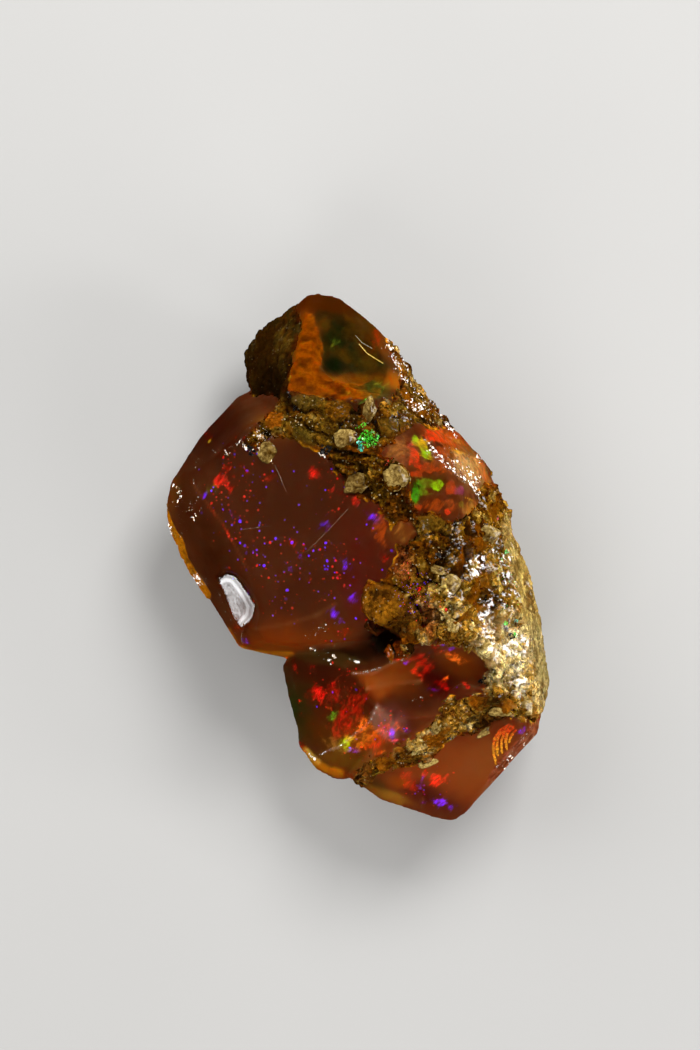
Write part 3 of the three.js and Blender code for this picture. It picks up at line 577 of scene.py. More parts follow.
def inside_depth(plan, outline):
    """How far points in plan lie inside an outline, in its unit. It is below zero outside."""
    corner = np.array(outline, float)
    inside = np.zeros(len(plan), bool)
    for a, b in zip(corner, np.roll(corner, -1, 0)):
        if a[1] != b[1]:
            crosses = (a[1] > plan[:, 1]) != (b[1] > plan[:, 1])
            inside ^= crosses & (plan[:, 0] < a[0] + (plan[:, 1] - a[1]) * (b[0] - a[0]) / (b[1] - a[1]))
    return off_line(plan, [*outline, outline[0]]) * np.where(inside, 1, -1)


def reach(x, y, patch):
    """How far points are from the middle of a turned ellipse: 1 at its rim.

    patch is x, y, half width, half height, turn.
    """
    cx, cy, half_x, half_y, turn = patch[:5]
    c, s = math.cos(math.radians(turn)), math.sin(math.radians(turn))
    across = ((x - cx) * c + (y - cy) * s) / half_x
    along = ((y - cy) * c - (x - cx) * s) / half_y
    return np.hypot(across, along)


def patch_share(x, y, patch, power=4):
    """1 in the middle of a patch and nothing well outside it. A higher power makes its border harder."""
    return np.exp(-(reach(x, y, patch) ** power))


def seen(colour):
    """A colour as seen on a screen, 0 to 255, as light."""
    c = np.array(colour, float) / 255
    return np.where(c < 0.04045, c / 12.92, ((c + 0.055) / 1.055) ** 2.4)


# ---------------------------------------------------------------- what the stone is made of, point by point
def rock_depth(p):
    """How far points in mm lie inside the host rock. Below zero is bare opal."""
    x, y, z = p.T
    window = np.max([inside_depth(p[:, :2], outline) for outline in WINDOWS.values()], axis=0)
    for gx, gy, radius in GAPS:
        window = np.maximum(window, radius - np.hypot(x - gx, y - gy))
    # the rock also closes the underside, up to a level that rises where it shows as a rim
    rim = ramp(x, -17, -20) * ramp(y, -8, -5) * ramp(y, 9.5, 7.5)
    ragged = 2.2 * rough_noise(p, 6.0, 13, 4)
    level = ROCK_LEVEL + 0.9 * ragged * (1 - rim) + RIM_RISE * rim + 0.9 * rim * ramp(y, 6, 1)
    depth = np.maximum(-window, level - z)
    for bx, by, bz, radius in BACK_GAPS:
        away = np.sqrt((x - bx) ** 2 + (y - by) ** 2 + (z - bz) ** 2)
        depth = np.minimum(depth, away - radius + ragged)
    return depth + 0.5 * rough_noise(p, 3.0, 11) + 0.22 * soft_noise(p, 0.7, 15)


def swell(p):
    """Low waves of the broken surface, in mm. The opal and the rock share them."""
    low = ramp(p[:, 2], 0.5, 4)
    return low * (0.22 * rough_noise(p, 11, 5, 2) + 0.04 * rough_noise(p, 2.5, 8, 2))


def broken(p):
    """How far the opal is splintered, 0 to 1: on its wet ridge, in the cup of the peak, and on the crust."""
    plan = p[:, :2] + 0.5 * np.stack([soft_noise(p, 1.6, 160), soft_noise(p, 1.6, 161)], 1)
    ridge = ramp(inside_depth(plan, WET_RIDGE), -0.3, 0.5)
    torn = p[:, :2] + 0.35 * np.stack([rough_noise(p, 1.2, 162 + k, 3) for k in range(2)], 1)
    high = ramp(p[:, 2], 8, 12)
    cup = ramp(inside_depth(plan, CUP), -0.1, 0.6) * high
    crust = ramp(inside_depth(torn, CRUST), -0.12, 0.12) * high
    return ridge, cup, crust


def mixed(a, b, share):
    """Colour a towards colour b."""
    share = np.asarray(share)[..., None]
    return np.asarray(a) * (1 - share) + np.asarray(b) * share


def slabs_at(p, above):
    """The slabs that stand out of the rock: how much of one is there, its lift, its rim for a painted
    highlight, its moat and tint.
    """
    on_slab, slab_lift, slab_rim_highlight, slab_moat = (np.zeros(len(p)) for _ in range(4))
    slab_tint = np.zeros((len(p), 3))
    for outline, tint, lift in SLABS:
        edge = inside_depth(p[:, :2], outline) + 0.18 * soft_noise(p, 0.8, 101)
        on = ramp(edge, -0.08, 0.16) * above
        on_slab = np.maximum(on_slab, on)
        slab_lift = slab_lift * (1 - on) + lift * on
        slab_rim_highlight = slab_rim_highlight * (1 - on) + on * ramp(edge, 0.45, 0.1)
        slab_moat = np.maximum(slab_moat, ramp(np.abs(edge + 0.3), 0.3, 0.0) * above)
        slab_tint = mixed(slab_tint, seen(tint), on)
    return on_slab, slab_lift, slab_rim_highlight, slab_moat, slab_tint


def chunks(points, size, salt, crack, lift, tilt):
    """Chunks of rock: five values from 0 to 1 for the one at each point, how solid it is, and its height."""
    near, following, offset, grain = grains(points, size, salt)
    own = np.stack([scrambled(grain, salt + 10 + k) for k in range(5)], 1)
    solid = ramp(following - near, 0.0, crack)
    height = lift * (own[:, 3] - 0.5) + tilt * (offset * (own[:, :3] * 2 - 1)).sum(1)
    return own, solid, height


def rock_skin(p, normal, depth):
    """Height in mm, colour with painted shade and highlights, wetness and sandiness of the host rock."""
    x, y, z = p.T

    def coat(tint, share):
        """Lays a tint over the rock."""
        nonlocal colour
        colour = mixed(colour, tint, share)

    above = ramp(normal[:, 2], -0.1, 0.35)
    # the right side is paler and wetter
    right = ramp(x - 0.55 * y, 13, 26) * np.maximum(ramp(y, -20.5, -17), ramp(x, 20, 23))
    right = np.maximum(right, 0.55 * patch_share(x, y, (11, -7.5, 4.5, 4, 0), 2))
    flank = ramp(x + 0.22 * y, 20.6, 21.9) * ramp(y, 7, 2)  # the worn pale side
    fibres = ramp(x, -7.6, -8.6) * ramp(y, 21, 23)  # the drawn-out lump left of the peak
    splinters = ramp(y, 12, 16) * (1 - fibres) * ramp(x, 14, 9)
    warp = np.stack([rough_noise(p, 2.6, 30 + k, 2) for k in range(3)], 1)
    drawn = p.copy()
    turned = p @ np.array([[0.72, -0.35, 0], [0.70, 0.36, 0], [0, 0, 1.0]])
    drawn[:, :2] += (turned - p)[:, :2] * splinters[:, None]
    on_slab, slab_lift, slab_rim_highlight, slab_moat, slab_tint = slabs_at(p, above)
    # chunks of rock, each with its own height, tilt and colour, and sand between them
    chip, gap, chips = chunks(drawn + 0.35 * warp, 2.4, 40, 0.13, 0.55, 0.50)
    bit, gap_s, bits = chunks(drawn + 0.2 * warp, 0.85, 60, 0.08, 0.22, 0.60)
    lumps = rough_noise(p, 6.0, 80, 3)
    sandy = ramp(rough_noise(p, 4.2, 84, 2), -0.05, 0.3) * (1 - 0.6 * splinters)
    streak = rough_noise(p * (2.4, 0.42, 1.6), 1.5, 90, 3)
    cleft = ramp(np.abs(rough_noise(drawn, 4.6, 95, 3)), 0.10, 0.0) * ramp(soft_noise(p, 5.0, 97), -0.4, 0.2)
    grit = rough_noise(p, 0.55, 99, 2)
    smooth_chip = ramp(chip[:, 4], 0.66, 0.72) * (1 - sandy)  # glassy amber chunks without grains
    # how much the chunks stand out
    calm = (1 - 0.5 * ramp(y, -17.5, -20) * ramp(x, 22, 19)) * (1 - 0.4 * splinters)
    calm = calm * (1 - 0.6 * ramp(y + 0.8 * x, 24, 28))
    calm = calm * (1 - 0.8 * patch_share(x, y, (0.2, -31, 2.6, 2.2, 0)))
    grainy = (1 - 0.9 * fibres) * (1 - 0.95 * on_slab) * (1 - 0.9 * flank)
    height = (
        grainy * calm * (1 - 0.75 * sandy) * (0.8 * chips - 0.10 * (1 - gap))
        + grainy * (0.4 + 0.6 * calm) * (1 - 0.8 * smooth_chip) * (1 - 0.4 * sandy) * bits
        + 0.5 * lumps * (1 - 0.6 * flank)
        - 0.9 * cleft * grainy
        + (0.26 * fibres + 0.12 * flank) * streak
        + 0.13 * grit
        + on_slab * (slab_lift + 0.12 * rough_noise(p, 0.9, 105, 3))
        - (0.12 + 0.25 * ramp(y, 2, -2)) * slab_moat * (1 - on_slab)
    )
    moat = np.full(len(p), 9.0)
    for pebble in PEBBLES:
        moat = np.minimum(moat, np.where(normal[:, 2] > -0.1, reach(x, y, pebble), 9.0))
    height = height - 0.25 * ramp(np.abs(moat - 1.15), 0.30, 0.0)
    rim = ramp(x, -17, -20) * ramp(y, -9, -5) * ramp(z, 9, 13)
    height = height * (1 - 0.8 * rim)
    # the rock rises from its border and dips under the opal beyond it
    height = swell(p) + height * ramp(depth, 0.0, 0.5) + 0.30 * ramp(depth, 0.05, 1.4)
    height = height - 0.34 * ramp(depth, 0.16, -0.28)
    # colours
    black, brown, amber = seen((30, 17, 4)), seen((86, 50, 10)), seen((130, 70, 6))
    gold, straw, pale = seen((140, 100, 28)), seen((178, 140, 60)), seen((220, 198, 132))
    olive, rust = seen((80, 62, 20)), seen((118, 46, 4))
    tone = 0.42 * chip[:, 0] + 0.30 * bit[:, 0] + 0.28 * (0.5 + 0.5 * rough_noise(p, 1.0, 110, 3))
    tone = tone + 0.24 * right + 0.06 * lumps + 0.05 * sandy - 0.08
    for *patch, more in ROCK_TONES:
        tone = tone + more * patch_share(x, y, patch, 2)
    colour = mixed(brown, gold, ramp(tone, 0.32, 0.54))
    coat(straw, ramp(tone, 0.56, 0.74))
    coat(pale, ramp(tone + 0.25 * (bit[:, 1] - 0.5), 0.72, 0.92))
    coat(seen((72, 58, 22)), 0.55 * splinters * ramp(chip[:, 2], 0.3, 0.7))
    coat(amber, smooth_chip * (0.85 - 0.35 * right))
    reddish = np.minimum(reach(x, y, (9.4, -7.6, 2.2, 3.2, 15)), reach(x, y, (6.2, -0.7, 2.1, 2.7, 10)))
    reddish = ramp(reddish, 1.15, 0.4) * above
    coat(seen((136, 70, 32)), 0.7 * reddish)
    coat(olive * 0.5, 0.9 * fibres * ramp(streak, -0.5, 0.4))
    coat(brown * 0.55, 0.85 * fibres * ramp(streak, 0.1, -0.5))
    # painted shade: the left part of the lump is darkened
    coat(brown * 0.3, 0.8 * fibres * ramp(x, -10.2, -12.4))
    coat(seen((170, 150, 98)), flank * (0.75 + 0.25 * ramp(streak, -0.2, 0.3)))
    coat(seen((104, 72, 38)), 0.7 * flank * ramp(np.abs(streak), 0.12, 0.02))
    worn = ramp(rough_noise(p * (1.6, 0.6, 1), 3.0, 126, 4), -0.05, 0.40)
    coat(seen((116, 86, 48)), 0.8 * flank * worn)
    coat(seen((218, 194, 138)), 0.85 * flank * ramp(rough_noise(p, 0.9, 128, 3), -0.02, 0.4))
    coat(slab_tint * (0.8 + 0.4 * ramp(grit, -0.5, 0.5))[:, None], 0.9 * on_slab)
    # a paler rim round each slab: a painted highlight along its edge
    coat(np.clip(slab_tint * (2.0, 1.9, 1.7), 0, 0.6), 0.6 * on_slab * slab_rim_highlight * ramp(grit, -0.3, 0.2))
    golden = on_slab * ramp(y, 2, -2) * ramp(rough_noise(p, 1.7, 129, 3) - 0.09 * (x - 4), -0.05, 0.3)
    coat(seen((156, 102, 18)), 0.5 * golden)
    coat(black, 0.7 * on_slab * ramp(y, 2, -2) * ramp(rough_noise(p, 0.9, 131, 3), -0.10, -0.42))
    # painted shade: the rock is darkened in its low places, between and round its chunks
    hollow_shade = ramp(-height, -0.40, 0.26) * (1 - 0.45 * patch_share(x, y, (7.5, -26.6, 8, 2.8, 33)))
    coat(black, 0.92 * hollow_shade * (1 - 0.8 * flank) * (1 - rim) * (1 - 0.5 * right))
    # painted shade in the moat round each slab
    coat(black, (0.35 + 0.35 * ramp(y, 2, -2)) * slab_moat * (1 - on_slab))
    # painted shade in the gaps between the grains and chunks
    gap_shade = grainy * (1 - rim) * (1 - 0.6 * right)
    coat(black, 0.3 * (1 - gap_s) * gap_shade * (1 - smooth_chip))
    coat(black, 0.35 * (1 - gap) * gap_shade * (1 - sandy))
    # painted shadow in the pit under the first slab
    coat(black, 0.9 * patch_share(x, y, (3.0, -11.0, 1.8, 3.0, -40)) * (1 - on_slab))
    stain = ramp(depth, 1.2, 0.0) * above
    coat(rust, 0.75 * stain * ramp(soft_noise(p, 1.8, 120), -0.5, 0.3))
    border = 0.8 * ramp(depth, 0.55, 0.15) * above
    coat(seen((212, 140, 26)), border * ramp(soft_noise(p, 1.4, 123), 0.0, 0.3))
    coat(seen((206, 126, 20)), rim * ramp(rough_noise(p, 1.6, 127, 3), -0.9, -0.1))
    dim = ramp(y, -10, -5) * (1 - reddish) * (1 - fibres) * ramp(x + y, 30, 26)
    dim = dim * (1 - on_slab * ramp(y, 2, -2))
    coat(colour * (0.72, 0.68, 0.44), dim * (1 - flank))
    coat(colour * (0.99, 0.93, 0.56), flank)
    coat(colour * (0.94, 0.94, 0.84), patch_share(x, y, (18, -3, 5, 7, 10)) * (1 - flank))
    coat(colour * (0.70, 0.75, 1.00), flank * ramp(y, -6, -11))
    # the whole rock a little darker, and the lump left of the peak darker still: partly its own darker
    # colour, partly painted shade
    colour = colour * (0.80 - 0.3 * fibres)[:, None]
    # painted shadow in the pit under the first slab, laid again over the last tints
    coat(black, 0.9 * patch_share(x, y, (2.0, -10.5, 2.3, 1.5, -35)))
    coat(seen((112, 72, 26)), 0.75 * patch_share(x, y, (-0.4, -31.2, 2.4, 1.8, 0)))
    wet = 0.35 * ramp(soft_noise(p, 2.2, 130) + 0.4 * right * (1 - flank) - 0.35, -0.2, 0.35)
    wet = wet * ramp(z, 6, 12) * (1 - smooth_chip)
    for patch in WET:
        wet = np.maximum(wet, ramp(reach(x, y, patch), 1.15, 0.75) * ramp(z, 6, 12) * (1 - 0.6 * smooth_chip))
    sand = (1 - 0.8 * rim) * (1 - 0.45 * flank) * (1 - 0.35 * on_slab) * (1 - 0.6 * smooth_chip)
    sand = sand * (1 - 0.9 * fibres)
    return height, colour, wet, sand


# ---------------------------------------------------------------- mesh helpers
def alone(ob):
    """Makes ob the only selected object, and active."""
    bpy.ops.object.select_all(action="DESELECT")
    ob.hide_set(False)
    ob.select_set(True)
    bpy.context.view_layer.objects.active = ob


def read(mesh, what):
    """Vertex places in mm or normals."""
    values = np.empty(len(mesh.vertices) * 3)
    if what == "normal":
        mesh.vertex_normals.foreach_get("vector", values)
        return values.reshape(-1, 3)
    mesh.vertices.foreach_get("co", values)
    return values.reshape(-1, 3) / MM


def write(mesh, places):
    """Puts the vertices at places, in mm."""
    mesh.vertices.foreach_set("co", (places * MM).ravel())
    mesh.update()


def keep_value(mesh, name, values):
    """Keeps a number for each vertex under a name that materials can read."""
    layer = mesh.attributes.get(name) or mesh.attributes.new(name, "FLOAT", "POINT")
    layer.data.foreach_set("value", values.astype(np.float32))


def keep_direction(mesh, name, directions):
    """Keeps a direction for each vertex under a name that materials can read."""
    layer = mesh.attributes.get(name) or mesh.attributes.new(name, "FLOAT_VECTOR", "POINT")
    layer.data.foreach_set("vector", directions.astype(np.float32).ravel())


def keep_colour(mesh, name, colours):
    """Keeps a colour for each vertex under a name that materials can read."""
    layer = mesh.attributes.get(name) or mesh.attributes.new(name, "FLOAT_COLOR", "POINT")
    rgba = np.ones((len(mesh.vertices), 4), np.float32)
    rgba[:, :3] = np.clip(colours, 0, 1)
    layer.data.foreach_set("color", rgba.ravel())


def stone_copy(name, step, smoothing):
    """An evenly meshed closed copy of the plain solid."""
    ob = bpy.data.objects.new(name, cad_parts[STONE].data.copy())
    bpy.context.scene.collection.objects.link(ob)
    ob.data.materials.clear()
    alone(ob)
    bpy.ops.object.mode_set(mode="EDIT")
    bpy.ops.mesh.select_all(action="SELECT")
    bpy.ops.mesh.remove_doubles(threshold=1e-6)
    bpy.ops.object.mode_set(mode="OBJECT")
    remesh = ob.modifiers.new("Even faces", "REMESH")
    remesh.mode = "VOXEL"
    remesh.voxel_size = step
    bpy.ops.object.modifier_apply(modifier=remesh.name)
    smooth = ob.modifiers.new("Worn edges", "SMOOTH")
    smooth.factor = 0.5
    smooth.iterations = smoothing
    bpy.ops.object.modifier_apply(modifier=smooth.name)
    return ob


def delete_faces(ob, chosen):
    """Deletes the chosen faces of ob."""
    alone(ob)
    bpy.ops.object.mode_set(mode="EDIT")
    bpy.ops.mesh.select_mode(type="FACE")
    bpy.ops.mesh.select_all(action="DESELECT")
    bpy.ops.object.mode_set(mode="OBJECT")
    ob.data.polygons.foreach_set("select", chosen)
    bpy.ops.object.mode_set(mode="EDIT")
    bpy.ops.mesh.delete(type="FACE")
    bpy.ops.object.mode_set(mode="OBJECT")


def face_values(mesh, values):
    """The mean of vertex values over each face of a mesh of quads."""
    corners = np.empty(len(mesh.loops), np.int64)
    mesh.loops.foreach_get("vertex_index", corners)
    starts = np.empty(len(mesh.polygons), np.int64)
    counts = starts.copy()
    mesh.polygons.foreach_get("loop_start", starts)
    mesh.polygons.foreach_get("loop_total", counts)
    return np.add.reduceat(values[corners], starts) / counts


def finish_piece(ob, material):
    """Smooth shading, material and body, and hides the solid it stands for."""
    alone(ob)
    bpy.ops.object.shade_smooth()
    ob.data.materials.clear()
    ob.data.materials.append(material)
    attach(ob, "root")
    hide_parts(STONE)


class Ground:
    """The upper surface of pieces, found from above. Everything is in mm."""

    def __init__(self, *names):
        corners, faces = [], []
        for name in names:
            mesh = bpy.data.objects[name].data
            faces += [[v + len(corners) for v in face.vertices] for face in mesh.polygons]
            corners += read(mesh, "place").tolist()
        self.tree = BVHTree.FromPolygons(corners, faces)

    def under(self, x, y):
        """The topmost place and its normal under x, y, or two Nones."""
        place, normal, _, _ = self.tree.ray_cast(Vector((x, y, ABOVE_ALL)), Vector((0, 0, -1)))
        return place, normal


def spots_in(rng, patch, number):
    """Random places in an elliptical patch, thicker towards its middle."""
    cx, cy, half_x, half_y, turn = patch[:5]
    c, s = math.cos(math.radians(turn)), math.sin(math.radians(turn))
    for _ in range(number):
        angle, away = rng.uniform(0, math.tau), rng.uniform(0, 1) ** 0.65
        across, along = half_x * away * math.cos(angle), half_y * away * math.sin(angle)
        yield cx + across * c - along * s, cy + across * s + along * c


def flake(rng, centre, normal, size, tilt, thickness, corners=6, slim=1.0, heading=None):
    """The corners and faces of a thin ragged flake, which is closed.

    slim below 1 draws it out to a sliver along heading.
    """
    n = (normal + Vector(rng.uniform(-tilt, tilt, 3))).normalized()
    across = n.orthogonal().normalized()
    across.rotate(Quaternion(n, rng.uniform(0, math.tau)))
    if heading is not None:
        level = Vector((math.cos(heading), math.sin(heading), 0))
        across = (level - n * n.dot(level)).normalized()
    along = n.cross(across) * slim
    start = rng.uniform(0, math.tau)
    rim = []
    for k in range(corners):
        angle = start + math.tau * (k + rng.uniform(-0.25, 0.25)) / corners
        away = size * rng.uniform(0.55, 1.1)
        rim.append(centre + away * (math.cos(angle) * across + math.sin(angle) * along))
    points = [c + n * thickness / 2 for c in rim] + [c - n * thickness / 2 for c in rim]
    faces = [list(range(corners)), list(range(2 * corners - 1, corners - 1, -1))]
    faces += [[k, corners + k, corners + (k + 1) % corners, (k + 1) % corners] for k in range(corners)]
    return points, faces


class Heap:
    """Small closed shapes joined in one mesh, each with one colour."""

    def __init__(self):
        self.points, self.faces, self.colours = [], [], []

    def add(self, points, faces, colour):
        first = len(self.points)
        self.points += [tuple(p) for p in points]
        self.faces += [[first + k for k in face] for face in faces]
        self.colours += [tuple(colour)] * len(points)

    def object(self, name):
        mesh = bpy.data.meshes.new(name)
        mesh.from_pydata((np.array(self.points) * MM).tolist(), [], self.faces)
        mesh.validate()
        keep_colour(mesh, "grain_colour", np.array(self.colours))
        ob = bpy.data.objects.new(name, mesh)
        bpy.context.scene.collection.objects.link(ob)
        return ob


def finish_grains(ob, material):
    """As finish_piece, but with flat faces."""
    finish_piece(ob, material)
    bpy.ops.object.shade_flat()


def along_line(points, step):
    """Places a step apart along a line of x, y points."""
    for (ax, ay), (bx, by) in zip(points, points[1:]):
        count = max(1, round(math.hypot(bx - ax, by - ay) / step))
        for k in range(count):
            yield ax + (bx - ax) * k / count, ay + (by - ay) * k / count
    yield points[-1]


def strewn(rng, ground, line, stray, number):
    """Random places near a line of x, y points, with the normals there, where there is ground."""
    spots = list(along_line(line, 0.1))
    for _ in range(number):
        x, y = np.array(spots[rng.integers(len(spots))]) + rng.normal(0, stray, 2)
        place, normal = ground.under(x, y)
        if place is not None:
            yield x, place, normal


def rounded(line):
    """A line of points with its corners cut twice."""
    for _ in range(2):
        corner = np.array(line)
        start, end = corner[:-1], corner[1:]
        cut = np.stack([0.75 * start + 0.25 * end, 0.25 * start + 0.75 * end], 1).reshape(-1, 2)
        line = [corner[0], *cut[1:-1], corner[-1]]
    return line


# ---------------------------------------------------------------- materials
class Nodes:
    """A material and short calls that add its nodes."""

    def __init__(self, name):
        self.material = bpy.data.materials.new(name)
        self.material.use_nodes = True
        self.tree = self.material.node_tree
        self.shader = self.tree.nodes["Principled BSDF"]
        self.object_space = self.tree.nodes.new("ShaderNodeTexCoord").outputs["Object"]

    def plain(self, **values):
        """Sets the shader's plain values, with _ for a space."""
        for name, value in values.items():
            self.shader.inputs[name.replace("_", " ")].default_value = value

    def add(self, kind, **values):
        """A new node with its properties."""
        node = self.tree.nodes.new(kind)
        for name, value in values.items():
            setattr(node, name, value)
        return node

    def link(self, source, target):
        """Joins two sockets."""
        self.tree.links.new(source, target)

    def attribute(self, name, output="Color"):
        """A value kept at the vertices."""
        return self.add("ShaderNodeAttribute", attribute_name=name).outputs[output]

    def value(self, name):
        """A number kept at the vertices."""
        return self.attribute(name, "Fac")

    def feed(self, name, source):
        """Joins a socket to one of the shader's inputs."""
        self.link(source, self.shader.inputs[name])

    def noise(self, scale, detail=4, roughness=0.55):
        """Noise over the object's own space."""
        node = self.add("ShaderNodeTexNoise")
        node.inputs["Scale"].default_value = scale
        node.inputs["Detail"].default_value = detail
        node.inputs["Roughness"].default_value = roughness
        self.link(self.object_space, node.inputs["Vector"])
        return node.outputs["Fac"]

    def streaks(self, scale):
        """Noise drawn out along a slant, as strokes of a brush."""
        node = self.add("ShaderNodeTexNoise")
        node.inputs["Scale"].default_value = scale
        node.inputs["Detail"].default_value = 5
        node.inputs["Roughness"].default_value = 0.65
        turn = self.add("ShaderNodeMapping", vector_type="TEXTURE")
        turn.inputs["Rotation"].default_value = (0, 0, STROKE_SLANT)
        turn.inputs["Scale"].default_value = (2.8, 0.75, 1)
        self.link(self.object_space, turn.inputs["Vector"])
        self.link(turn.outputs["Vector"], node.inputs["Vector"])
        return node.outputs["Fac"]

    def cells(self, scale):
        """Grains with crooked borders: distance from the grain's middle, and three values from 0 to 1."""
        node = self.add("ShaderNodeTexVoronoi")
        node.inputs["Scale"].default_value = scale
        bent = self.add("ShaderNodeVectorMath", operation="MULTIPLY_ADD")
        waves = self.add("ShaderNodeTexNoise")
        waves.inputs["Scale"].default_value = scale
        self.link(self.object_space, waves.inputs["Vector"])
        self.link(waves.outputs["Color"], bent.inputs[0])
        bent.inputs[1].default_value = (0.5 / scale,) * 3
        self.link(self.object_space, bent.inputs[2])
        self.link(bent.outputs["Vector"], node.inputs["Vector"])
        parts = self.add("ShaderNodeSeparateColor")
        self.link(node.outputs["Color"], parts.inputs["Color"])
        return node.outputs["Distance"], parts.outputs["Red"], parts.outputs["Green"], parts.outputs["Blue"]

    def spread(self, value, low, high, to_low=0.0, to_high=1.0):
        """Maps low to high smoothly onto to_low to to_high."""
        node = self.add("ShaderNodeMapRange")
        node.interpolation_type = "SMOOTHSTEP"
        for name, number in (("From Min", low), ("From Max", high), ("To Min", to_low), ("To Max", to_high)):
            node.inputs[name].default_value = number
        self.link(value, node.inputs["Value"])
        return node.outputs["Result"]

    def calc(self, operation, a, b):
        """Arithmetic on numbers or sockets."""
        node = self.add("ShaderNodeMath", operation=operation)
        for socket, value in zip(node.inputs, (a, b)):
            if isinstance(value, (int, float)):
                socket.default_value = value
            else:
                self.link(value, socket)
        return node.outputs["Value"]

    def times(self, a, b):
        """The product of numbers or sockets."""
        return self.calc("MULTIPLY", a, b)

    def blend(self, share, a, b, kind="MIX"):
        """Colour a towards colour b."""
        node = self.add("ShaderNodeMix", data_type="RGBA", blend_type=kind)
        for socket, value in ((node.inputs["Factor"], share), (node.inputs["A"], a), (node.inputs["B"], b)):
            if isinstance(value, (int, float)):
                socket.default_value = value
            elif isinstance(value, tuple):
                socket.default_value = (*value, 1)
            else:
                self.link(value, socket)
        return node.outputs["Result"]

    def bump(self, height, distance, strength=1.0, normal=None):
        """A normal bent by a height."""
        node = self.add("ShaderNodeBump")
        node.inputs["Strength"].default_value = strength
        node.inputs["Distance"].default_value = distance
        self.link(height, node.inputs["Height"])
        if normal:
            self.link(normal, node.inputs["Normal"])
        return node.outputs["Normal"]


def opal_finish(settings):
    """See-through opal with its fire and pin points, which glow as a painted light, its crusts and gloss."""
    n = Nodes("Fire opal")
    n.plain(
        Transmission_Weight=0.55, IOR=1.45, Subsurface_Weight=1.0, Subsurface_Scale=0.0014,
        Emission_Strength=1.0, Specular_IOR_Level=0.0, Specular_Tint=(0.0, 0.0, 0.0, 1.0), Coat_IOR=1.45,
        Coat_Roughness=0.06,
    )
    dull, ridge = n.value("dull"), n.value("ridge")
    clouds = n.spread(n.noise(110, 5), 0.35, 0.7, 0.0, 0.5)
    veil = n.blend(clouds, n.attribute("opal_colour"), (0.75, 0.70, 0.70), "MULTIPLY")
    tone = n.blend(n.spread(n.noise(260, 4), 0.5, 0.8, 0.0, 0.10), veil, (0.30, 0.12, 0.05))
    crumbs = n.noise(1500, 5, 0.7)
    soiled = n.times(dull, n.spread(crumbs, 0.40, 0.62, 0.0, 0.75))
    n.feed("Base Color", n.blend(soiled, tone, (0.34, 0.24, 0.16), "MULTIPLY"))
    waves = n.bump(n.times(ridge, n.calc("SUBTRACT", n.noise(430, 2, 0.5), 0.5)), 0.0009)
    crust = n.bump(n.times(dull, n.calc("SUBTRACT", crumbs, 0.5)), 0.0004, 0.9, waves)
    n.feed("Normal", n.bump(n.noise(500, 3), 0.00005, 0.3, crust))
    n.feed("Roughness", n.spread(dull, 0, 1, 0.30, 0.60))
    # gloss, with bands and pits in the shallow chip
    chip = n.value("chip")
    bands = n.add("ShaderNodeValToRGB")
    stops = bands.color_ramp.elements
    stops[0].color = stops[1].color = (0.40,) * 3 + (1,)
    for place, level in CHIP_BANDS:
        stops.new(place).color = (level,) * 3 + (1,)
    n.link(chip, bands.inputs["Fac"])
    pits = n.times(n.spread(n.noise(3400, 3, 0.7), 0.46, 0.60), n.spread(chip, 0.38, 0.48, 0.0, 0.6))
    gloss = n.times(bands.outputs["Color"], n.calc("SUBTRACT", 1.0, pits))
    gloss = n.times(n.value("shine"), gloss)
    n.feed("Coat Weight", gloss)
    # the ragged ground of each patch of fire, sent out as emission: a painted glow over the opal's real play
    # of colour
    brushed = n.value("brushed")
    cloudy = n.spread(n.noise(520, 5, 0.6), 0.32, 0.68, -0.4, 0.4)
    strokes = n.blend(brushed, cloudy, n.spread(n.streaks(800), 0.30, 0.70, -0.55, 0.45))
    reach_out = n.calc("ADD", n.value("fire"), strokes)
    grainy = n.spread(n.noise(900, 5, 0.7), 0.34, 0.66, 0.25, 1.15)
    fine = n.blend(brushed, grainy, n.spread(n.streaks(1500), 0.36, 0.60, 0.12, 1.0))
    edge = n.blend(brushed, n.spread(reach_out, 0.32, 0.68), n.spread(reach_out, 0.28, 0.95))
    share = n.times(edge, fine)
    glow = n.blend(share, (0.0, 0.0, 0.0), n.attribute("fire_colour"))
    # pin points of red and violet, also sent out as emission: a painted glow
    for scale, widest, strength in ((1250, 0.30, 1.0), (2300, 0.32, 0.7)):
        away, presence, brightness, hue = n.cells(scale)
        here = n.spread(n.calc("ADD", presence, n.value("pins")), 1.0, 1.02)
        dot = n.times(n.spread(away, widest, widest * 0.6), here)
        dot = n.times(dot, n.spread(brightness, 0.1, 1.0, 0.05 * strength, strength))
        violet = n.spread(n.calc("ADD", hue, n.value("violet")), 1.0, 1.02)
        tint = n.blend(violet, COLOURS["red"], COLOURS["violet"])
        glow = n.blend(dot, glow, tint, "ADD")
    n.feed("Emission Color", glow)
    n.material.cycles.emission_sampling = "NONE"
    depth = n.add("ShaderNodeVolumeAbsorption")
    depth.inputs["Color"].default_value = (*settings.depth_colour, 1)
    depth.inputs["Density"].default_value = settings.depth_density
    n.link(depth.outputs["Volume"], n.tree.nodes["Material Output"].inputs["Volume"])
    return n.material


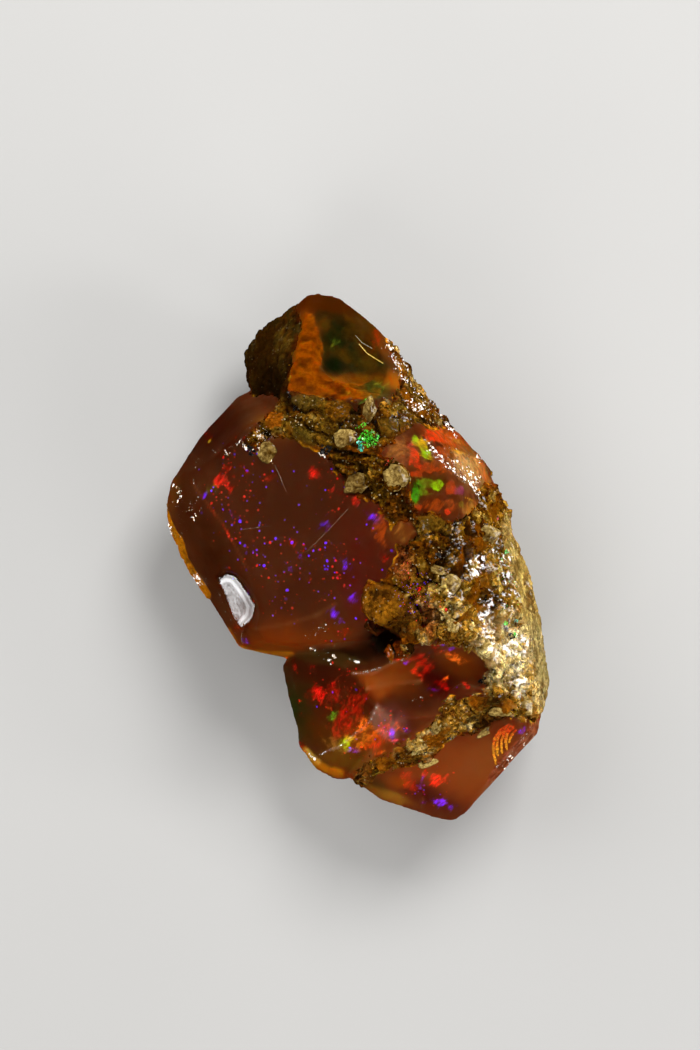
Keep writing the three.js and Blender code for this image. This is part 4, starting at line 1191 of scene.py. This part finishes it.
def rock_finish():
    """Sandy host rock with wet places."""
    n = Nodes("Host rock")
    colour = n.attribute("rock_colour")
    sandy = n.value("sand")
    sand, silt = n.cells(2300)[1], n.cells(4300)[1]
    for grain, dark, light in ((sand, 0.85, 0.85), (silt, 0.55, 0.6)):
        darker = n.times(sandy, n.spread(grain, 0.0, 0.42, dark, 0.0))
        colour = n.blend(darker, colour, (0.22, 0.15, 0.09), "MULTIPLY")
        lighter = n.times(sandy, n.spread(grain, 0.70, 0.95, 0.0, light))
        colour = n.blend(lighter, colour, (2.1, 2.0, 1.9), "MULTIPLY")
    soiled = n.spread(n.noise(1500, 5, 0.7), 0.42, 0.62, 0.0, 0.5)
    colour = n.blend(soiled, colour, (0.34, 0.25, 0.14), "MULTIPLY")
    away, presence, _, _ = n.cells(2600)
    sugar = n.times(n.spread(away, 0.42, 0.25), n.spread(presence, 0.86, 0.90))
    sugar = n.times(sugar, n.spread(n.noise(320, 3), 0.42, 0.60, 0.1, 0.6))
    colour = n.blend(n.times(sandy, sugar), colour, (0.62, 0.50, 0.28))
    n.feed("Base Color", colour)
    wet = n.times(n.value("wet"), n.spread(n.noise(800, 4, 0.6), 0.44, 0.52))
    n.feed("Coat Weight", wet)
    n.plain(
        Coat_Roughness=0.04, Coat_IOR=1.5, Specular_IOR_Level=0.0, Roughness=0.7, Subsurface_Weight=0.4,
        Subsurface_Scale=0.0008,
    )
    n.shader.inputs["Subsurface Radius"].default_value = (1.0, 0.42, 0.12)
    rough = n.bump(n.noise(1500, 5, 0.65), 0.00028, 0.9)
    n.feed("Normal", n.bump(sand, 0.00014, 1.0, rough))
    # the film of water lies smoother than the grains under it
    film = n.bump(n.noise(420, 2, 0.6), 0.0009, 1.0, n.attribute("film", "Vector"))
    n.feed("Coat Normal", film)
    return n.material


def grain_finish(name, speck, speck_scale, **plain):
    """A finish for joined grains that carry their own colour."""
    n = Nodes(name)
    n.plain(**plain)
    share = n.spread(n.noise(speck_scale, 4, 0.65), 0.4, 0.62, 0.0, 0.8)
    n.feed("Base Color", n.blend(share, n.attribute("grain_colour"), speck, "MULTIPLY"))
    n.feed("Normal", n.bump(n.noise(speck_scale, 4), 0.00015, 0.8))
    return n


def fire_finish(name, strength):
    """Play of colour: flakes that send out their own colour, a painted glow over the real play of colour."""
    n = grain_finish(name, (0.8, 0.8, 0.8), 900, Roughness=0.3, Emission_Strength=strength)
    share = n.spread(n.noise(2500, 3), 0.35, 0.65, 0.0, 0.6)
    glow = n.blend(share, n.attribute("grain_colour"), (0.35, 0.35, 0.35), "MULTIPLY")
    n.feed("Emission Color", glow)
    n.material.cycles.emission_sampling = "NONE"
    return n.material


# ---------------------------------------------------------------- pieces
def body_colour(p, above, stray, cup, crust, bevel):
    """Body colour of the opal, point by point, with painted shadow and painted highlights in a few places."""
    x, y, _ = p.T
    colour = np.tile(np.array(bpy.context.scene.rough_opal.opal_colour), (len(p), 1))

    def coat(tint, share):
        """Lays a tint over the opal."""
        nonlocal colour
        colour = mixed(colour, tint, share)

    mottle = ramp(rough_noise(p, 2.6, 170, 4), -0.05, 0.45)
    for *patch, tint, strength in TONES:
        loose = 0.28 * min(3.0, patch[2], patch[3])
        away = reach(x + loose * stray[:, 0], y + loose * stray[:, 1], patch)
        share = np.minimum(1, strength * np.exp(-(away**2) ** 1.5))
        if strength < 0.95:
            share = share * (0.75 + 0.25 * mottle)
        coat(seen(tint) * OPAL_LIFT, share * above)
    colour = colour * 0.86
    # the mossy cup and the orange crust of the peak, which turns green to the right
    moss = ramp(rough_noise(p @ CLEAVAGE, 2.2, 186, 5), -0.3, 0.45)
    olive = mixed(seen((24, 24, 3)), seen((88, 48, 2)), moss)
    coat(olive * OPAL_LIFT, 0.65 * cup * ramp(np.hypot(x + 3.4, y - 26.6), 1.4, 3.0))
    flare = ramp(rough_noise(p, 1.3, 174, 4), -0.5, 0.5)
    orange = mixed(seen((100, 40, 1)), seen((170, 76, 1)), flare)
    green = ramp(x + 0.6 * (y - 23), -0.6, 2.2)
    orange = mixed(orange, mixed(seen((46, 58, 12)), seen((120, 84, 14)), flare), 0.85 * green)
    coat(orange * OPAL_LIFT, 0.95 * crust)
    for line, half, tint, strength in STROKES:
        away = off_line(p[:, :2] + 0.12 * stray, line) / half
        coat(seen(tint) * OPAL_LIFT, strength * (0.6 + 0.4 * mottle) * np.exp(-(away**4)) * above)
    # the crumbled opal at the upper right
    crumbled = ramp(reach(x + stray[:, 0], y + stray[:, 1], (11.5, 12.2, 8.5, 7, -20)), 1.1, 0.7) * above
    grain = ramp(rough_noise(p, 0.9, 200, 4), -0.1, 0.5)
    paler = 0.55 * crumbled * grain * (0.35 + 0.65 * ramp(x + 0.3 * y, 14, 19))
    coat(colour * (1.9, 1.9, 2.0) + 0.02, paler)
    coat(colour * (0.35, 0.30, 0.30), 0.6 * crumbled * ramp(rough_noise(p, 1.4, 204, 4), 0.05, 0.5))
    for outline, tint, soft, strength in BREAKS:
        on = ramp(inside_depth(p[:, :2] + 0.2 * stray, outline), -soft, soft) * above
        coat(seen(tint) * OPAL_LIFT, strength * on * (0.85 + 0.15 * mottle))
    flecks = ramp(rough_noise(p, 0.9, 176, 5, 0.7), -0.4, 0.45)
    bruise = mixed(seen((116, 40, 14)), seen((188, 92, 54)), flecks)
    coat(bruise * OPAL_LIFT, 0.9 * bevel)
    return colour


def gloss(p, crust):
    """How far the opal shines, point by point."""
    x, y, _ = p.T
    dulled = patch_share(x, y, (-15.6, -6.9, 1.1, 1.7, 25)) + patch_share(x, y, (-17.1, -8.9, 0.7, 0.9, 0))
    shine = (1 - crust) * ramp(-rock_depth(p), 0.0, 0.5)
    for patch in NO_GLOSS:
        shine = np.minimum(shine, 1 - 1.15 * patch_share(x, y, patch))
    return np.clip(np.minimum(shine, 1 - 0.55 * dulled), 0, 1)


def patches_of_fire(x, y, stray):
    """How much fire there is, its colour, and 1 where it is drawn out in strokes."""
    fire, share_sum = np.zeros(len(x)), np.full(len(x), 1e-6)
    tints, brushed = np.zeros((len(x), 3)), np.ones(len(x))
    for *patch, tint, number in [place[:-1] for place in FIRE] + SOFT_FIRE:
        loose = 0.35 * min(2.0, patch[2], patch[3])
        away = reach(x + loose * stray[:, 0], y + loose * stray[:, 1], patch)
        share = min(1.0, 0.35 + number / 50) * np.exp(-((0.85 * away) ** 2) ** 1.4)
        brushed = np.where(share > np.maximum(fire, 0.05), float(tint not in UNBRUSHED), brushed)
        fire = np.maximum(fire, share)
        share_sum += share**2
        tints += share[:, None] ** 2 * np.array(COLOURS[tint])
    return fire, tints / share_sum[:, None], brushed


def pin_points(p, stray):
    """How many of the spots hold a pin point of colour, and the share of violet ones."""
    x, y, _ = p.T
    pins, violet = np.zeros(len(p)), np.zeros(len(p))
    clusters = 0.12 + 1.15 * ramp(rough_noise(p, 4.0, 182, 3), -0.35, 0.55)
    for *patch, amount, share in PINS:
        away = 0.9 * reach(x + stray[:, 0], y + stray[:, 1], patch)
        here = amount * clusters * np.exp(-(away**4))
        violet = np.where(here > pins, share, violet)
        pins = np.maximum(pins, here)
    return pins, violet


def opal_tone(p, bands):
    """All that the opal's material reads at each point, by name."""
    x, y, z = p.T
    ridge, cup, crust = bands
    above = ramp(z, 5, 11)
    stray = np.stack([rough_noise(p, 3.0, 140 + 4 * k, 3) for k in range(2)], 1)
    bevel = ramp(inside_depth(p[:, :2] + 0.10 * stray, BEVEL), -0.02, 0.12) * ramp(z, 9, 14)
    within = inside_depth(p[:, :2], SCOOP)
    across = off_line(p[:, :2] + 0.1 * stray, SCOOP_RIM)
    dull = np.maximum(np.maximum(0.75 * crust, 0.35 * cup), 0.6 * bevel)
    fire, fire_colour, brushed = patches_of_fire(x, y, stray)
    pins, violet = pin_points(p, stray)
    return {
        "opal_colour": body_colour(p, above, stray, cup, crust, bevel),
        "fire_colour": fire_colour,
        "fire": fire * above,
        "dull": np.maximum(dull, 0.6 * patch_share(x, y, (5.2, 14.4, 2.2, 2.4, 0))),
        "pins": pins * above,
        "violet": violet,
        "ridge": ridge,
        "shine": gloss(p, crust),
        "chip": np.clip((0.25 + across) / 4, 0, 1) * (within > -0.1) * (z > CHIP_ABOVE),
        "brushed": brushed,
    }


class STONE_OT_opal(bpy.types.Operator):
    """The see-through opal, from the plain solid's copy, drawn in a little under the rock"""

    bl_idname = "rough_opal.opal"
    bl_label = "Opal"

    def execute(self, context):
        settings = context.scene.rough_opal
        ob = stone_copy("opal_body", settings.body_step, 4)
        mesh = ob.data
        p, normal = read(mesh, "place"), read(mesh, "normal")
        depth = rock_depth(p)
        ridge, cup, crust = bands = broken(p)
        lift = swell(p) - 0.75 * ramp(depth, 0.1, 1.3)
        lift += ridge * (0.24 * rough_noise(p, 1.7, 165, 2) - 0.1) + cup * 0.16 * rough_noise(p, 2.6, 168, 3)
        lift += crust * (0.16 + 0.14 * rough_noise(p, 1.0, 178, 3))
        lip = np.exp(-((off_line(p[:, :2], LIP) / 1.2) ** 2)) * ramp(p[:, 2], 11, 14)
        lift += lip * (0.75 + 0.2 * rough_noise(p, 1.2, 190, 3))
        q = p + normal * lift[:, None]
        q[:, 2] = np.maximum(q[:, 2], 0.0)
        # the shallow chip at the left, with bands along its rim
        within = inside_depth(q[:, :2], SCOOP)
        away = q[:, :2] - CHIP_MIDDLE
        floor = CHIP_HEIGHT + CHIP_SLOPES[0] * away[:, 0] + CHIP_SLOPES[1] * away[:, 1]
        floor -= 0.05 * ramp(within, 0, 1.8)
        floor += 0.003 * np.sin(8.5 * within + 1) * ramp(within, 1.5, 0.9) + 0.010 * soft_noise(q, 1.6, 172)
        share = ramp(within, -0.15, 0.15) * (q[:, 2] > CHIP_ABOVE)
        q[:, 2] += share * (floor - q[:, 2])
        write(mesh, q)
        for name, values in opal_tone(q, bands).items():
            (keep_colour if values.ndim > 1 else keep_value)(mesh, name, values)
        finish_piece(ob, opal_finish(settings))
        return {"FINISHED"}


class STONE_OT_rock(bpy.types.Operator):
    """The crust of host rock on the opal"""

    bl_idname = "rough_opal.rock"
    bl_label = "Host rock"

    def execute(self, context):
        settings = context.scene.rough_opal
        whole = stone_copy("rock", settings.skin_step, 3)
        p, normal = read(whole.data, "place"), read(whole.data, "normal")
        depth = rock_depth(p)
        height, colour, wet, sand = rock_skin(p, normal, depth)
        resting = ramp(p[:, 2], 0.0, 1.6)
        q = p + normal * (height * resting)[:, None]
        q[:, 2] = np.maximum(q[:, 2], 0.0)
        write(whole.data, q)
        keep_colour(whole.data, "rock_colour", colour)
        keep_value(whole.data, "wet", wet)
        keep_value(whole.data, "sand", sand)
        ledges = normal + (0, 0, 0.5)
        keep_direction(whole.data, "film", ledges / np.linalg.norm(ledges, axis=1)[:, None])
        bare = face_values(whole.data, depth) < BARE_DEPTH
        up = face_values(whole.data, normal[:, 2]) > UPPER_SLOPE
        middle = face_values(whole.data, p[:, 0])
        right, left = middle > UPPER_CUT, middle < UNDER_CUT
        finish = rock_finish()
        parts = (
            ("host_rock_front", up & ~right), ("host_rock_right", up & right),
            ("host_rock_left", ~up & left), ("host_rock_back", ~up & ~left),
        )
        for name, mine in parts:
            ob = bpy.data.objects.new(name, whole.data.copy())
            context.scene.collection.objects.link(ob)
            delete_faces(ob, bare | ~mine)
            alone(ob)
            shell = ob.modifiers.new("Thickness", "SOLIDIFY")
            shell.thickness = CRUST_THICKNESS * MM
            shell.offset = -1
            bpy.ops.object.modifier_apply(modifier=shell.name)
            inner = read(ob.data, "place")
            inner[:, 2] = np.maximum(inner[:, 2], 0.0)
            write(ob.data, inner)
            finish_piece(ob, finish)
        bpy.data.objects.remove(whole)
        return {"FINISHED"}


class STONE_OT_fire(bpy.types.Operator):
    """The play of colour: ragged flakes sealed just under the opal's surface, and a few in the rock"""

    bl_idname = "rough_opal.fire"
    bl_label = "Play of colour"

    def execute(self, context):
        rng = np.random.default_rng(FIRE_SEED)
        opal = Ground("opal_body")
        sealed, bare = Heap(), Heap()
        rock = Ground("host_rock_front", "host_rock_right")
        for patches, heap, ground, deepest, number_share, size_share in (
            (FIRE, sealed, opal, 0.07, 2.2, 0.62), (ROCK_FIRE, bare, rock, 0.0, 2.0, 0.8),
        ):
            for *patch, colour, number, size in patches:
                for x, y in spots_in(rng, patch, round(number * number_share)):
                    place, normal = ground.under(x, y)
                    if place is None:
                        continue
                    sink = rng.uniform(0.03, deepest) if deepest else -0.02
                    grown = size * size_share * rng.uniform(0.35, 1.0)
                    heading = STROKE_SLANT + rng.normal(0, 0.35)
                    slim = rng.uniform(0.35, 0.9)
                    tint = np.array(COLOURS[colour]) * (0.06 + 0.94 * rng.uniform() ** 1.6)
                    spot = place - normal * sink
                    heap.add(*flake(rng, spot, normal, grown, 0.12, 0.03, 6, slim, heading), tint)
        for band in FLAMES:
            spots = list(along_line(rounded(band), 0.07))
            for k, (x, y) in enumerate(spots):
                place, normal = opal.under(x + rng.normal(0, 0.05), y + rng.normal(0, 0.05))
                lower = k / len(spots)
                golden = ramp(lower + rng.uniform(-0.2, 0.2), 0.2, 0.95)
                tint = mixed((0.15, 0.012, 0.001), (0.22, 0.085, 0.004), golden)
                wide = rng.uniform(0.12, 0.22) * (1.2 - 0.5 * abs(2 * lower - 1) ** 3)
                sealed.add(*flake(rng, place, normal, wide, 0.05, 0.03), tint * rng.uniform(0.5, 1.1))
        finish_grains(sealed.object("opal_fire"), fire_finish("Play of colour", 4.2))
        finish_grains(bare.object("rock_fire"), fire_finish("Play of colour in the rock", 1.2))
        return {"FINISHED"}


class STONE_OT_pebbles(bpy.types.Operator):
    """Pale pebbles and black glassy bits set in the rock"""

    bl_idname = "rough_opal.pebbles"
    bl_label = "Pebbles"

    def execute(self, context):
        rng = np.random.default_rng(PEBBLE_SEED)
        ground = Ground("host_rock_front", "host_rock_right", "opal_body")
        heap = Heap()
        for k, (x, y, half_x, half_y, turn, paleness) in enumerate(PEBBLES):
            place, normal = ground.under(x, y)
            bpy.ops.object.select_all(action="DESELECT")
            bpy.ops.mesh.primitive_ico_sphere_add(subdivisions=4, radius=MM)
            ball = context.active_object
            p = read(ball.data, "place")
            shape = 1 + 0.30 * rough_noise(p + 5 * k, 0.9, 150, 2)
            shape = shape + 0.14 * rough_noise(p + 5 * k, 0.3, 153, 2)
            p = p * shape[:, None]
            for _ in range(9):
                side = rng.normal(0, 1, 3) * (1, 1, 0.5)
                side /= np.linalg.norm(side)
                p = p - np.maximum(p @ side - rng.uniform(0.80, 0.98), 0)[:, None] * side
            c, s = math.cos(math.radians(turn)), math.sin(math.radians(turn))
            flat = 1.08 * p * (half_x, half_y, 0.4 * min(half_x, half_y) + 0.2)
            flat = flat @ np.array([[c, s, 0], [-s, c, 0], [0, 0, 1]])
            lean = Vector((0, 0, 1)).rotation_difference((normal + Vector((0, 0, 1))).normalized())
            spots = [place - normal * (0.26 * min(half_x, half_y) + 0.14) + lean @ Vector(v) for v in flat]
            mix = 0.02 + 0.7 * paleness**1.5 + 0.40 * rough_noise(p + 5 * k, 0.28, 156, 3)
            core = np.hypot(p[:, 0] - 0.2, p[:, 1] + 0.1)
            mix += 0.22 * ramp(np.hypot(p[:, 0], p[:, 1]), 0.6, 0.9) - 0.2 * ramp(core, 0.55, 0.1)
            tone = mixed(seen((78, 54, 16)), seen((190, 162, 92)), np.clip(mix, 0, 1))
            first = len(heap.points)
            heap.add(spots, [list(face.vertices) for face in ball.data.polygons], (0, 0, 0))
            heap.colours[first:] = [tuple(t) for t in np.clip(tone, 0, 1)]
            bpy.data.objects.remove(ball)
        finish = grain_finish(
            "Pale pebbles", (0.28, 0.21, 0.12), 2600, Roughness=0.6, Specular_IOR_Level=0.0, Coat_Weight=0.2,
            Coat_Roughness=0.08,
        )
        finish_piece(heap.object("pale_pebbles"), finish.material)

        bits = Heap()
        for x, y, half in BLACK_BITS:
            place, normal = ground.under(x, y)
            for _ in range(14):
                spot = place + Vector(rng.uniform(-0.8, 0.8, 3) * (1, 1, 0.4)) * half
                size = half * rng.uniform(0.12, 0.45)
                bits.add(*flake(rng, spot, normal, size, 1.2, half * 0.4, 5), (0.008, 0.007, 0.006))
        grey = (0.5, 0.5, 0.5)
        finish = grain_finish("Black glassy bits", grey, 900, Roughness=0.30, Specular_IOR_Level=0.10)
        finish_grains(bits.object("black_bits"), finish.material)
        return {"FINISHED"}


class STONE_OT_crests(bpy.types.Operator):
    """Bruised crests, hairline cracks and needles"""

    bl_idname = "rough_opal.crests"
    bl_label = "Crests and hairlines"

    def execute(self, context):
        rng = np.random.default_rng(CREST_SEED)
        everything = Ground("opal_body", "host_rock_front", "host_rock_right")
        worn = (0.8, 0.75, 0.7)
        chips = Heap()
        for line, stray, number in CRESTS:
            for _, place, normal in strewn(rng, everything, line, stray, number):
                size = 0.025 + 0.11 * rng.uniform() ** 3
                # pale chips: partly bruised opal and rock, partly painted glints on the crests
                tint = np.array((0.92, 0.88, 0.80)) * rng.uniform(0.5, 1.0)
                chips.add(*flake(rng, place, normal, size, 0.5, 0.05, 5, rng.uniform(0.25, 0.8)), tint)
        coat = {"Coat_Weight": 1.0, "Coat_Roughness": 0.05}
        finish = grain_finish("Bruised crests with painted glints", worn, 900, Roughness=0.15, **coat)
        finish_grains(chips.object("bruised_crests"), finish.material)

        # the facets lie as a broken edge does that throws light from its own side straight up
        scales = Heap()
        lean = math.radians(34)
        for line, stray, number, heading in SCALES:
            for x, place, _ in strewn(rng, everything, line, stray, number):
                side = 1 if x > 2 else -1
                facing = Vector((0.99 * side * math.sin(lean), -0.14 * math.sin(lean), math.cos(lean)))
                size = 0.07 + 0.34 * rng.uniform() ** 2
                turn = math.radians(heading) + rng.normal(0, 0.4)
                tint = np.array((0.50, 0.26, 0.07)) * rng.uniform(0.4, 1.0)
                scales.add(*flake(rng, place, facing, size, 0.16, 0.06, 6, rng.uniform(0.3, 0.8), turn), tint)
        finish = grain_finish("Wet scales", worn, 900, Roughness=0.05)
        finish_grains(scales.object("wet_scales"), finish.material)

        opal = Ground("opal_body")
        hairs = Heap()
        for line, half, kind in HAIRS:
            for x, y in along_line(line, half * 1.6):
                place, normal = opal.under(x, y)
                if place is not None:
                    size = half * rng.uniform(0.8, 1.4)
                    hairs.add(*flake(rng, place, normal, size, 0.1, half, 5), HAIR_COLOURS[kind])
        finish = grain_finish("Hairlines", worn, 900, Roughness=0.3)
        finish_grains(hairs.object("hairlines"), finish.material)
        return {"FINISHED"}


class STONE_OT_stage(bpy.types.Operator):
    """Floor, lights and camera"""

    bl_idname = "rough_opal.stage"
    bl_label = "Studio"

    def execute(self, context):
        settings = context.scene.rough_opal
        bpy.ops.object.select_all(action="DESELECT")
        bpy.ops.mesh.primitive_circle_add(vertices=96, radius=2.5, fill_type="NGON", location=(0, 0, 0))
        floor = context.active_object
        floor.name = "studio_floor"
        n = Nodes("Studio floor")
        n.plain(Roughness=0.7)
        shade = n.spread(n.noise(9, 3), 0.3, 0.7)
        darker = tuple(0.97 * c for c in settings.floor_colour)
        n.feed("Base Color", n.blend(shade, tuple(settings.floor_colour), darker))
        floor.data.materials.append(n.material)
        floor.location.z = -0.02 * MM
        floor.visible_glossy = False
        floor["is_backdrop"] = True

        world = bpy.data.worlds.new("Studio")
        context.scene.world = world
        world.use_nodes = True
        world.node_tree.nodes["Background"].inputs["Color"].default_value = (0.86, 0.85, 0.84, 1)
        world.node_tree.nodes["Background"].inputs["Strength"].default_value = 0.30
        world.cycles_visibility.glossy = False

        aim, distance = Vector((0, 0, 0.02)), 0.6

        def soft_box(name, bearing, height, size, watts, mirrored=True, glint_only=False, only=None):
            """A square light at a bearing and a height in degrees, which may light only some pieces."""
            level = math.cos(math.radians(height))
            turn = math.radians(bearing)
            away = Vector((math.cos(turn) * level, math.sin(turn) * level, 0))
            away.z = math.sin(math.radians(height))
            place = aim + distance * away
            light = bpy.data.lights.new(name, "AREA")
            light.shape = "RECTANGLE"
            light.size = light.size_y = size
            light.energy = watts
            ob = bpy.data.objects.new(name, light)
            ob.location = place
            ob.rotation_euler = (aim - place).to_track_quat("-Z", "Y").to_euler()
            ob.visible_glossy = mirrored
            ob.visible_diffuse = not glint_only
            ob.visible_transmission = False
            context.scene.collection.objects.link(ob)
            if only:
                ob.light_linking.receiver_collection = bpy.data.collections.new(name)
                for piece in only:
                    ob.light_linking.receiver_collection.objects.link(bpy.data.objects[piece])

        rock = ["host_rock_front", "host_rock_right", "host_rock_left", "host_rock_back"]
        rock += ["pale_pebbles", "black_bits", "rock_fire"]
        sharp = ["wet_scales", "bruised_crests", "hairlines"]
        soft_box("key_light", 62, 48, 0.26, 4.2, mirrored=False)
        soft_box("glint_light", 62, 46, 0.14, 1.6, glint_only=True, only=rock + sharp)
        soft_box("sheen_light", 62, 46, 0.22, 0.6, glint_only=True, only=["opal_body"])
        soft_box("spark_light", 352, 22, 0.50, 22.0, glint_only=True, only=rock + sharp)
        soft_box("left_spark_light", 188, 22, 0.36, 11.0, glint_only=True, only=sharp)
        soft_box("ridge_light", 50, 20, 0.22, 5.0, glint_only=True, only=rock + sharp)
        soft_box("side_light", 355, 22, 0.12, 1.2, mirrored=False)
        soft_box("chip_light", 124, 66, 0.22, 4.4, glint_only=True, only=["opal_body"])
        soft_box("fill_light", 150, 40, 0.50, 2.4, mirrored=False)
        soft_box("low_light", 250, 35, 0.30, 1.6, mirrored=False)
        soft_box("edge_light", 325, 28, 0.30, 1.1, mirrored=False)

        lens = bpy.data.cameras.new("camera")
        lens.lens = 100
        lens.clip_start = 0.01
        camera = bpy.data.objects.new("camera", lens)
        camera.location = (-1.1 * MM, 4.6 * MM, 0.430)
        context.scene.collection.objects.link(camera)
        context.scene.camera = camera
        context.scene.view_settings.view_transform = "Standard"
        return {"FINISHED"}


class STONE_PT_panel(bpy.types.Panel):
    """Builds the stone piece by piece"""

    bl_label = "Rough opal"
    bl_idname = "STONE_PT_panel"
    bl_space_type = "VIEW_3D"
    bl_region_type = "UI"
    bl_category = "Rough opal"

    def draw(self, context):
        for name in RoughOpalSettings.__annotations__:
            self.layout.prop(context.scene.rough_opal, name)
        for operator in OPERATORS:
            self.layout.operator(operator.bl_idname)


OPERATORS = (STONE_OT_opal, STONE_OT_rock, STONE_OT_fire, STONE_OT_pebbles, STONE_OT_crests, STONE_OT_stage)
CLASSES = (RoughOpalSettings, *OPERATORS, STONE_PT_panel)


def register():
    for cls in CLASSES:
        bpy.utils.register_class(cls)
    bpy.types.Scene.rough_opal = bpy.props.PointerProperty(type=RoughOpalSettings)


def unregister():
    del bpy.types.Scene.rough_opal
    for cls in reversed(CLASSES):
        bpy.utils.unregister_class(cls)


def main():
    register()
    bpy.ops.rough_opal.opal()
    bpy.ops.rough_opal.rock()
    bpy.ops.rough_opal.fire()
    bpy.ops.rough_opal.pebbles()
    bpy.ops.rough_opal.crests()
    bpy.ops.rough_opal.stage()
    boxes = {"cad": CAD_BOX, "visual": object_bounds()}
    plain = {name: [[float(v) for v in corner] for corner in box] for name, box in boxes.items()}


if __name__ == "__main__":
    main()
